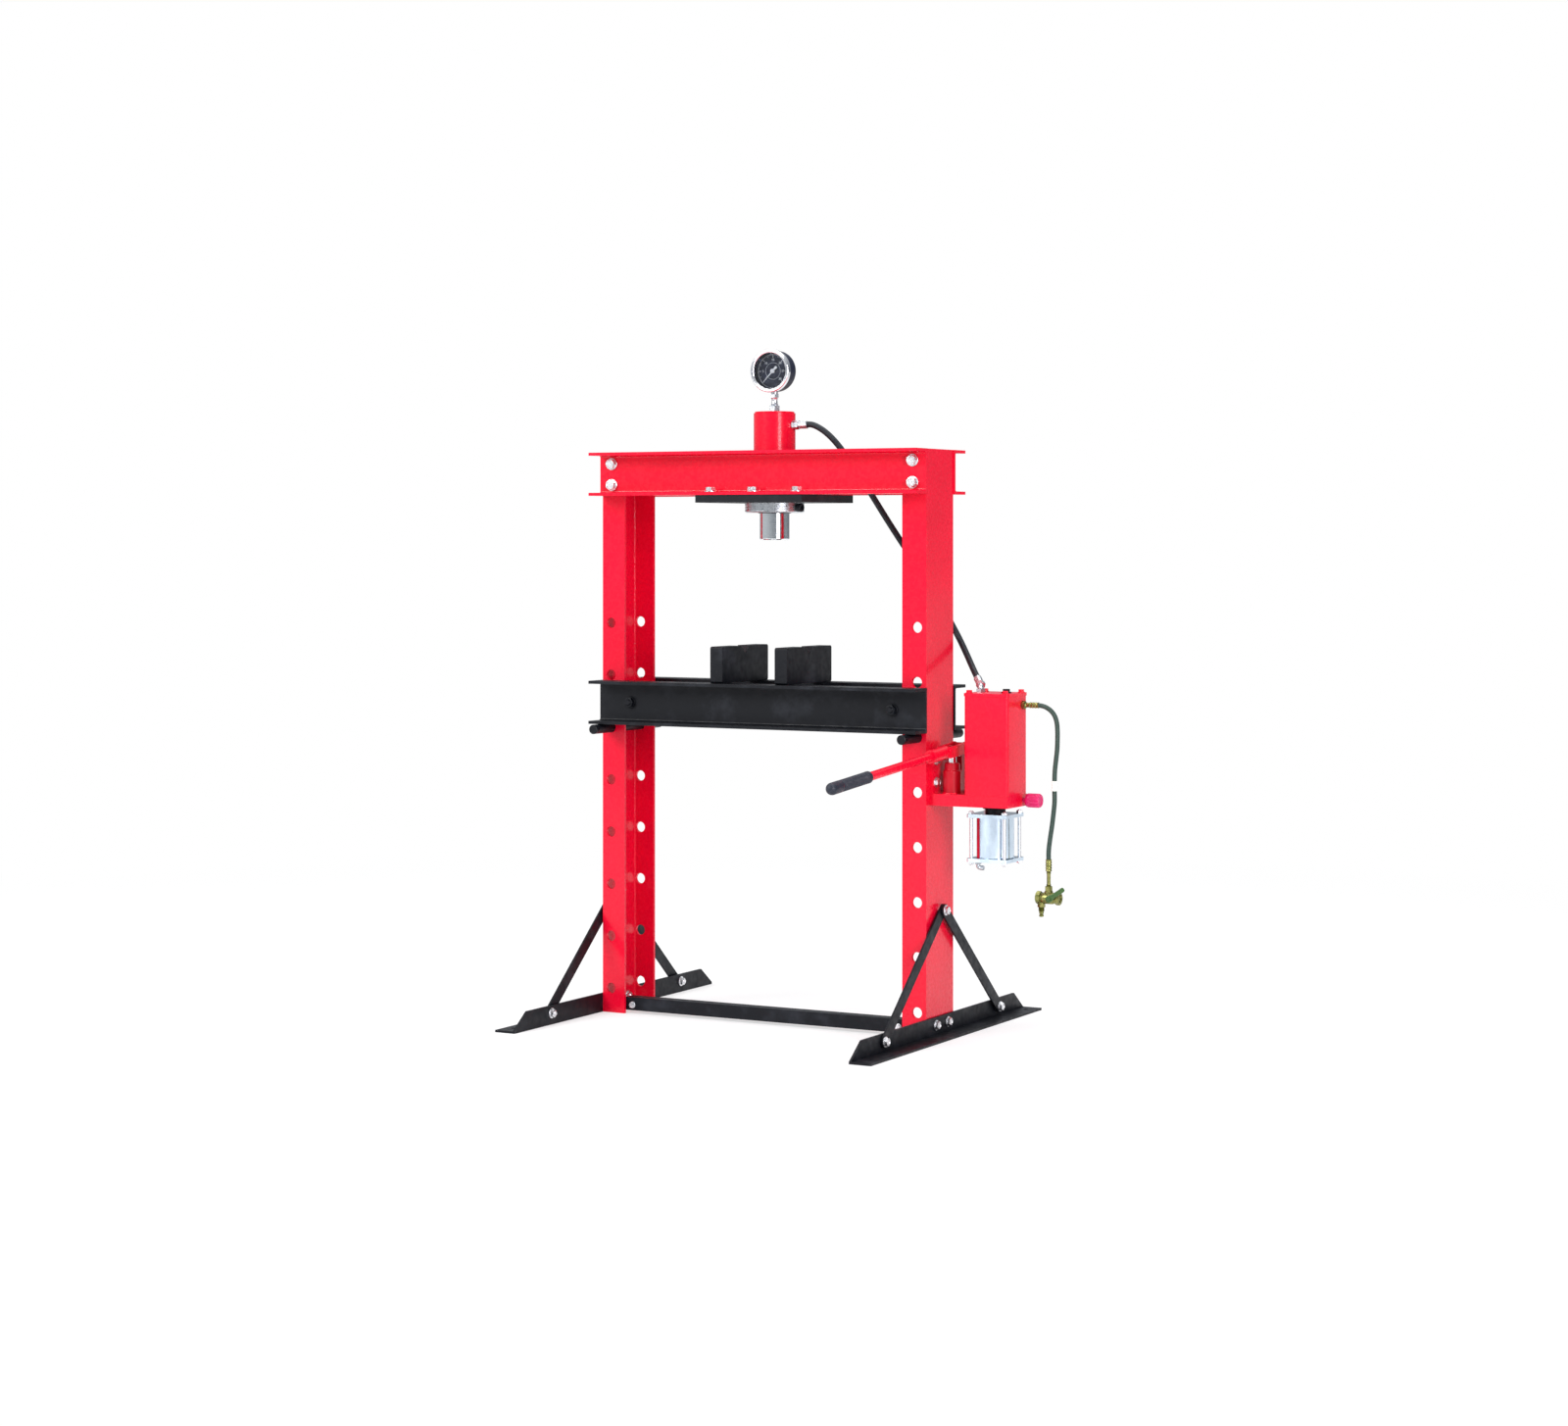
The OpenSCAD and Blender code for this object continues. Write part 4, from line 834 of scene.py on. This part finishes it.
def fluted(r, z, depth):
    """Ring with round flutes."""
    flutes = 12
    ring = []
    for i in range(TURN * 2):
        a = 2 * math.pi * i / (TURN * 2)
        s = r - depth * max(0.0, math.cos(flutes * a)) ** 1.5
        ring.append((s * math.cos(a), s * math.sin(a), z))
    return ring


def make_knob():
    """Release knob: flanged, fluted, with a dished end."""
    at = next(j["pos_m"] for j in frame["joints"] if j["name"] == "release_turn")
    n, r, flute = TURN * 2, 0.018, 0.0022
    rings = [pole(-0.01), circle(0.006, -0.01, n), circle(0.006, 0.008, n), circle(0.013, 0.008, n),
             circle(0.0165, 0.0105, n), circle(r, 0.014, n), circle(r, 0.019, n),
             fluted(r, 0.0215, flute), fluted(r, 0.0435, flute), fluted(0.0165, 0.0465, 0.0010),
             circle(0.015, 0.048, n), circle(0.012, 0.048, n), circle(0.0105, 0.0465, n), pole(0.0462)]
    skin("release_handwheel", rings, aim(at, (1, 0, 0)), "knob_plastic", "release_knob", "knob")


def weld_bead(bm, points, r):
    """Bead of overlapping ripples along straight runs between points."""
    step, pitch, ripples = 0.0011, 1.6 * r, 400
    line = []
    for a, b in zip(points, points[1:]):
        a, b = Vector(a), Vector(b)
        parts = max(2, round((b - a).length / step))
        line += [a.lerp(b, i / parts) for i in range(parts)]
    line.append(Vector(points[-1]))
    wobble = random.Random(len(line))
    drift = [wobble.uniform(0.92, 1.08) for _ in range(ripples)]

    def radius(s):
        """Radius of the bead at a distance along it."""
        along = s / pitch
        return r * drift[int(along) % ripples] * (0.84 + 0.16 * math.sin(math.pi * (along % 1.0)))

    tube(bm, line, radius, 12)


def make_welds():
    """Beads on the pump's base, at its bracket, post and barrel, and under the tank."""
    base_low, base_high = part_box("pump_base")
    tank_low, tank_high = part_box("pump_tank")
    post_low, post_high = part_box("fulcrum_post")
    barrel_low, barrel_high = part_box("pump_barrel")
    top, wall, edge, corner, front = tank_low.z, 0.009, 0.004, 0.011, 0.022
    sides, welded = 40, 37
    bm = bmesh.new()
    x = base_low.x + wall
    weld_bead(bm, [(x, base_low.y + edge, top), (x, base_high.y - edge, top)], 0.0035)
    side = [(tank_low.x, tank_low.y + corner, top), (tank_low.x, tank_high.y - corner, top)]
    weld_bead(bm, side, 0.003)
    ring = [(p[0] + (barrel_low.x + barrel_high.x) / 2, p[1] + (barrel_low.y + barrel_high.y) / 2, top)
            for p in circle((barrel_high.x - barrel_low.x) / 2, 0, sides)]
    weld_bead(bm, ring[:welded], 0.0026)
    post_front = post_low.y + front
    weld_bead(bm, [(post_high.x, post_front, top), (post_high.x, post_high.y, top),
                   (post_low.x, post_high.y, top), (post_low.x, post_front, top)], 0.0026)
    piece("pump_welds", bm, "frame", "red_paint", sharp=70)


make_grip()
make_knob()
make_welds()

# ---------- hose ends and the air valve ----------


def crimp_rings(r, low, high, grips=4):
    """Rings of a ferrule with pressed bands between its rounded ends."""
    rings = [circle(r - 0.0012, low), circle(r, low + 0.001)]
    step = (high - low - 0.002) / grips
    for i in range(grips):
        z = low + 0.001 + i * step
        rings += [circle(r, z + 0.12 * step), circle(r - 0.0007, z + 0.28 * step),
                  circle(r - 0.0007, z + 0.72 * step), circle(r, z + 0.88 * step)]
    return [*rings, circle(r, high - 0.001), circle(r - 0.0012, high)]


def make_oil_fittings():
    """Cylinder port with its hose end, and the hose end on its elbow over the tank."""
    start = Vector(OIL_ROUTE[0])
    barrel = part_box("cylinder_barrel")[1].x
    reach = start.x - barrel
    ring_back = reach - 0.011
    rings = [pole(-0.0015), circle(0.0058, -0.0015), circle(0.0058, 0),
             *hex_rings(0.013, 0, 0.008),
             *hex_rings(0.012, 0.0085, ring_back + 0.001), circle(0.0088, ring_back + 0.001),
             *crimp_rings(0.0102, ring_back + 0.0015, reach + 0.014), circle(0.0081, reach + 0.014),
             pole(reach + 0.0135)]
    place = aim((barrel, 0, start.z), (1, 0, 0))
    skin("cylinder_port_fitting", rings, place, "turned_steel", "hose_fittings")

    bm = bmesh.new()
    end = Vector(OIL_ROUTE[-1])
    out = (end - Vector(OIL_ROUTE[-2])).normalized()
    tank_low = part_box("pump_tank")[0]
    lid_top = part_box("tank_lid")[1].z
    boss = Vector((tank_low.x + 0.012, 0.018, lid_top))
    rings = [pole(-0.002), circle(0.0058, -0.002), circle(0.0058, 0), *hex_rings(0.012, 0, 0.008),
             *thread_rings(0.0082, 0.008, 0.0115, 0.0014), circle(0.0068, 0.012)]
    loft(bm, [*rings, pole(0.0125)], Matrix.Translation(boss))
    knee = boss + Vector((0, 0, 0.0145))
    join = end + out * 0.021
    bend = [boss + Vector((0, 0, 0.009)), boss + Vector((0, 0, 0.0125)), knee.lerp(join, 0.35), join]
    tube(bm, smooth_route(bend, 0.001), lambda s: 0.0068, 24)
    rings = [pole(-0.0225), circle(0.0075, -0.0225), *hex_rings(0.012, -0.022, -0.011),
             circle(0.0088, -0.011), *crimp_rings(0.0102, -0.0105, 0.012), circle(0.0081, 0.012),
             pole(0.0115)]
    loft(bm, rings, aim(end, -out))
    piece("tank_hose_elbow", bm, "frame", "turned_steel", ("hose_fittings",))


def make_air_fitting():
    """Brass hose tail on the tank's side."""
    start = Vector(AIR_ROUTE[0])
    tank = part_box("pump_tank")[1].x
    reach = start.x - tank
    rings = [pole(-0.002), circle(0.006, -0.002), circle(0.006, 0), *hex_rings(0.011, 0, 0.009),
             *thread_rings(0.0072, 0.009, 0.0125, 0.0012), circle(0.0062, 0.013),
             circle(0.0062, reach - 0.013), *crimp_rings(0.0076, reach - 0.013, reach + 0.012, 3),
             circle(0.0061, reach + 0.012), pole(reach + 0.0115)]
    place = aim((tank, start.y, start.z), (1, 0, 0))
    skin("tank_air_fitting", rings, place, "brass", "hose_fittings")


hose_bottom = Vector(AIR_ROUTE[-1])
# Radius of the valve's middle, and where its lever's stem and its plug stand along it
VALVE_R = 0.015
STEM_X = 0.010
PLUG_X = -0.020
valve_drop = 0.088
valve_at = hose_bottom - Vector((0, 0, valve_drop))


def make_sleeve():
    """Pale sleeve round the air hose, with a waist between its lips."""
    low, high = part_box("hose_joiner")
    x, y = (low.x + high.x) / 2, (low.y + high.y) / 2
    long = high.z - low.z
    profile = [(0.0061, 0), (0.0076, 0), (0.008, 0.0006), (0.008, 0.004), (0.0074, 0.0048),
               (0.0074, long - 0.0048), (0.008, long - 0.004), (0.008, long - 0.0006),
               (0.0076, long), (0.0061, long)]
    rings = turned([*profile, profile[0]])
    place = Matrix.Translation((x, y, low.z))
    return skin("hose_sleeve", rings, place, "joiner_plastic", "hose_joiner", closed=False)


def make_nipple():
    """Brass nipple: ferrule on the hose, a slim neck and the nut on the valve."""
    long = hose_bottom.z - valve_at.z
    base = VALVE_R + 0.003
    rings = [pole(base), circle(0.0085, base), *hex_rings(0.010, base, base + 0.012),
             *thread_rings(0.0062, base + 0.012, base + 0.0165, 0.0012), circle(0.0048, base + 0.0175),
             circle(0.0048, long - 0.028), circle(0.0062, long - 0.024), circle(0.0048, long - 0.0235),
             circle(0.0062, long - 0.0205), *crimp_rings(0.008, long - 0.020, long + 0.010, 4),
             circle(0.0061, long + 0.010), pole(long + 0.0095)]
    return skin("valve_nipple", rings, Matrix.Translation(valve_at), "brass", "air_nipple")


def make_valve():
    """Brass valve body between two hexagons, with its top boss, stem boss and plug."""
    bm = bmesh.new()
    half = 0.032
    body = [pole(-half + 0.003), circle(0.0095, -half + 0.003), circle(0.0105, -half),
            *hex_rings(0.017, -half, -half + 0.012), circle(0.0125, -half + 0.0125),
            circle(0.0125, -half + 0.0145)]
    middle = ((0.0142, -0.014), (0.015, -0.010), (0.015, 0.010), (0.0142, 0.014))
    body += [circle(r, z) for r, z in middle]
    body += [circle(0.0125, half - 0.0145), circle(0.0125, half - 0.0125),
             *hex_rings(0.017, half - 0.012, half), circle(0.0105, half), circle(0.0095, half - 0.003),
             pole(half - 0.003)]
    loft(bm, body, aim(valve_at, (1, 0, 0)))
    loft(bm, [pole(0.005), circle(0.0108, 0.005), circle(0.0108, VALVE_R + 0.0022),
              circle(0.0098, VALVE_R + 0.003), pole(VALVE_R + 0.003)], Matrix.Translation(valve_at))
    stem = [pole(0.008), circle(0.007, 0.008), circle(0.007, VALVE_R + 0.0005),
            *hex_rings(0.0062, VALVE_R + 0.0008, VALVE_R + 0.005), pole(VALVE_R + 0.005)]
    loft(bm, stem, aim(valve_at + Vector((STEM_X, 0, 0)), (0, -1, 0)))
    plug = [pole(0.005), circle(0.008, 0.005), circle(0.008, VALVE_R + 0.001),
            *hex_rings(0.010, VALVE_R + 0.001, VALVE_R + 0.009),
            *thread_rings(0.0076, VALVE_R + 0.009, 0.034, 0.0013), circle(0.006, 0.0345),
            circle(0.006, 0.0395), circle(0.0046, 0.0405), circle(0.0046, 0.0425),
            circle(0.006, 0.0435), circle(0.006, 0.0462), circle(0.0048, 0.048), circle(0.0034, 0.048),
            circle(0.0032, 0.044), pole(0.044)]
    loft(bm, plug, aim(valve_at + Vector((PLUG_X, 0, 0)), (0, 0, -1)))
    return piece("valve_body", bm, "frame", "brass", ("air_valve",))


def soft_slab(bm, sections, place):
    """Dipped bar: rounded cross-sections given as (place along, half width, low, high)."""
    rings = []
    for x, half, low, high in sections:
        ring = []
        for i in range(20):
            a = 2 * math.pi * i / 20
            c, s = math.cos(a), math.sin(a)
            y = half * math.copysign(abs(c) ** 0.5, c)
            z = (low + high) / 2 + (high - low) / 2 * math.copysign(abs(s) ** 0.5, s)
            ring.append((x, y, z))
        rings.append(ring)
    loft(bm, rings, place)


def make_lever():
    """Dipped lever on the valve's stem, with its nut."""
    place = (Matrix.Translation(valve_at + Vector((STEM_X, -VALVE_R - 0.0053, 0)))
             @ Matrix.Rotation(math.pi / 2, 4, "X") @ Matrix.Rotation(math.radians(34), 4, "Z"))
    bm = bmesh.new()
    soft_slab(bm, [(-0.0088, 0.003, 0.001, 0.003), (-0.0075, 0.006, 0.0003, 0.0038),
                   (-0.003, 0.0086, 0, 0.004), (0.003, 0.0088, 0, 0.004), (0.009, 0.0072, 0, 0.004),
                   (0.016, 0.0058, 0, 0.004), (0.034, 0.0060, 0, 0.0042), (0.044, 0.0062, 0, 0.0044),
                   (0.0475, 0.0055, 0.0003, 0.0040), (0.0495, 0.003, 0.001, 0.003)], place)
    nut, end = 0.0062, 0.0078
    loft(bm, [pole(0.003), *hex_rings(0.0058, 0.0035, nut), *thread_rings(0.003, nut, end, 0.0008),
              pole(end)], place)
    return piece("valve_handle", bm, "lever", "lever_green", ("valve_lever",))


def make_elbow():
    """Exhaust elbow under the motor: hexagon, bend and an open mouth."""
    low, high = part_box("motor_elbow")
    x, y = low.x + 0.009, (low.y + high.y) / 2
    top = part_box("motor_end_plates")[0].z
    bm = bmesh.new()
    nut = [pole(0.001), *hex_rings(0.009, -0.007, 0)[::-1], pole(-0.007)]
    loft(bm, nut, Matrix.Translation((x, y, top)))
    bend = [(x, y, top - 0.006), (x, y, top - 0.010), (x + 0.001, y, top - 0.0135),
            (x + 0.004, y, top - 0.0158), (x + 0.008, y, top - 0.016), (x + 0.0145, y, top - 0.016)]
    tube(bm, smooth_route(bend, 0.001), lambda s: 0.0052, 24)
    mouth = [pole(0.004), circle(0.0036, 0.004), circle(0.0038, 0.0085), circle(0.0058, 0.0085),
             circle(0.006, 0.008), circle(0.006, 0.0), circle(0.0052, -0.0006), pole(-0.0006)]
    loft(bm, mouth, aim((x + 0.007, y, top - 0.016), (1, 0, 0)))
    piece("exhaust_elbow", bm, "frame", "turned_steel", ("motor_elbow",))


make_oil_fittings()
make_air_fitting()
sleeve = make_sleeve()
nipple = make_nipple()
valve = make_valve()
lever = make_lever()
make_elbow()

# ---------- CAD nodes: materials and broken edges ----------


def smooth_by_angle():
    """Modifier tree that shades a mesh smooth except over sharp edges."""
    tree = bpy.data.node_groups.new("smooth_by_angle", "GeometryNodeTree")
    tree.interface.new_socket("Mesh", in_out="INPUT", socket_type="NodeSocketGeometry")
    tree.interface.new_socket("Mesh", in_out="OUTPUT", socket_type="NodeSocketGeometry")
    add = tree.nodes.new
    start, end = add("NodeGroupInput"), add("NodeGroupOutput")
    every, sharp = add("GeometryNodeSetShadeSmooth"), add("GeometryNodeSetShadeSmooth")
    sharp.domain = "EDGE"
    angle, more = add("GeometryNodeInputMeshEdgeAngle"), add("FunctionNodeCompare")
    more.inputs[1].default_value = math.radians(28)
    sharp.inputs["Shade Smooth"].default_value = False
    tree.links.new(start.outputs[0], every.inputs[0])
    tree.links.new(every.outputs[0], sharp.inputs[0])
    tree.links.new(angle.outputs[0], more.inputs[0])
    tree.links.new(more.outputs[0], sharp.inputs["Selection"])
    tree.links.new(sharp.outputs[0], end.inputs[0])
    return tree


SMOOTH = smooth_by_angle()
EDGE = {"seal_rubber": 0.0003, "gauge_chrome": 0.0008, "gauge_black": 0.0012, "black_paint": 0.0012}


def finish_node(name):
    """Gives a CAD node its material, welded vertices, soft edges and smooth shading."""
    node = nodes[name]
    node.data.materials.clear()
    node.data.materials.append(looks[slot_of_node[name]])
    weld = node.modifiers.new("weld", "WELD")
    weld.merge_threshold = 0.00001
    flat = node.modifiers.new("flat", "DECIMATE")
    flat.decimate_type = "DISSOLVE"
    flat.angle_limit = math.radians(0.3)
    smooth = node.modifiers.new("smooth", "NODES")
    smooth.node_group = SMOOTH
    bevel = node.modifiers.new("bevel", "BEVEL")
    bevel.width = EDGE.get(slot_of_node[name], 0.001)
    bevel.segments = 2
    bevel.limit_method = "ANGLE"
    bevel.angle_limit = math.radians(40)
    bevel.harden_normals = True


for node_name, node in nodes.items():
    if not node.hide_render:
        finish_node(node_name)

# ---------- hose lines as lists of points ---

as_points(oil_line)
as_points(air_line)

# ---------- studio ----------


def make_floor():
    """Pale floor that turns white away from the press, and looks brighter than it lights."""
    bm = bmesh.new()
    bmesh.ops.create_grid(bm, x_segments=1, y_segments=1, size=60)
    mesh = bpy.data.meshes.new("floor")
    bm.to_mesh(mesh)
    bm.free()
    floor = bpy.data.objects.new("floor", mesh)
    scene.collection.objects.link(floor)
    look = Look("floor", (0.86, 0.86, 0.86), 0.75, spec=0.15)
    look.color(look.mix(look.noise(1.5), (0.85, 0.85, 0.855), (0.88, 0.88, 0.88)))
    away = look.add("VectorMath", {"operation": "LENGTH"}, i0=look.place).outputs["Value"]
    lit = look.add("Emission", Color=(1, 1, 1, 1), Strength=1.0).outputs[0]
    seen = look.add("LightPath").outputs["Is Camera Ray"]
    share = look.math("MULTIPLY", look.spread(away, 0.8, 4.5, 0.5, 1.0), look.spread(seen, 0, 1, 0.25))
    blend = look.add("MixShader", i0=share, i1=look.shader.outputs[0], i2=lit)
    look.link(blend.outputs[0], look.tree.nodes["Material Output"].inputs["Surface"])
    mesh.materials.append(look.made)


def make_world():
    """Room that is white to the camera, and as light is bright overhead and dim and bluish below."""
    world = bpy.data.worlds.new("studio")
    scene.world = world
    world.use_nodes = True
    tree = world.node_tree
    back = tree.nodes["Background"]
    place = tree.nodes.new("ShaderNodeTexCoord")
    dot = tree.nodes.new("ShaderNodeVectorMath")
    dot.operation = "DOT_PRODUCT"
    dot.inputs[1].default_value = (-0.35, -0.1, 0.93)
    ramp = tree.nodes.new("ShaderNodeMapRange")
    for k, value in ((1, -0.1), (2, 0.9), (3, 0.24), (4, 1.0)):
        ramp.inputs[k].default_value = value
    mix = tree.nodes.new("ShaderNodeMix")
    mix.data_type = "RGBA"
    mix.inputs[6].default_value = (0.55, 0.62, 0.72, 1)
    mix.inputs[7].default_value = (1, 1, 1, 1)
    seen = tree.nodes.new("ShaderNodeLightPath").outputs["Is Camera Ray"]
    shown = tree.nodes.new("ShaderNodeMath")
    shown.operation = "MAXIMUM"
    tree.links.new(place.outputs["Generated"], dot.inputs[0])
    tree.links.new(dot.outputs["Value"], ramp.inputs[0])
    tree.links.new(shown.outputs[0], mix.inputs[0])
    tree.links.new(mix.outputs[2], back.inputs["Color"])
    tree.links.new(seen, shown.inputs[0])
    tree.links.new(ramp.outputs[0], shown.inputs[1])
    tree.links.new(shown.outputs[0], back.inputs["Strength"])


def area_light(name, at, target, size, watts, color=(1, 1, 1)):
    """Rectangular light that faces a target."""
    data = bpy.data.lights.new(name, "AREA")
    data.shape = "RECTANGLE"
    data.size, data.size_y = size
    data.energy = watts
    data.color = color
    lamp = bpy.data.objects.new(name, data)
    lamp.location = at
    lamp.rotation_euler = (Vector(target) - Vector(at)).to_track_quat("-Z", "Y").to_euler()
    scene.collection.objects.link(lamp)


make_floor()
make_world()
area_light("key", (-3.2, -5.5, 4.2), (0, 0, 0.9), (3.0, 3.0), 300)
area_light("side", (5.2, -3.4, 2.4), (0.2, 0, 1.0), (1.8, 3.4), 240, (1.0, 0.96, 1.0))
area_light("top", (0, 0.5, 5.5), (0, 0, 0), (4, 4), 160)
scene.view_settings.view_transform = "Standard"
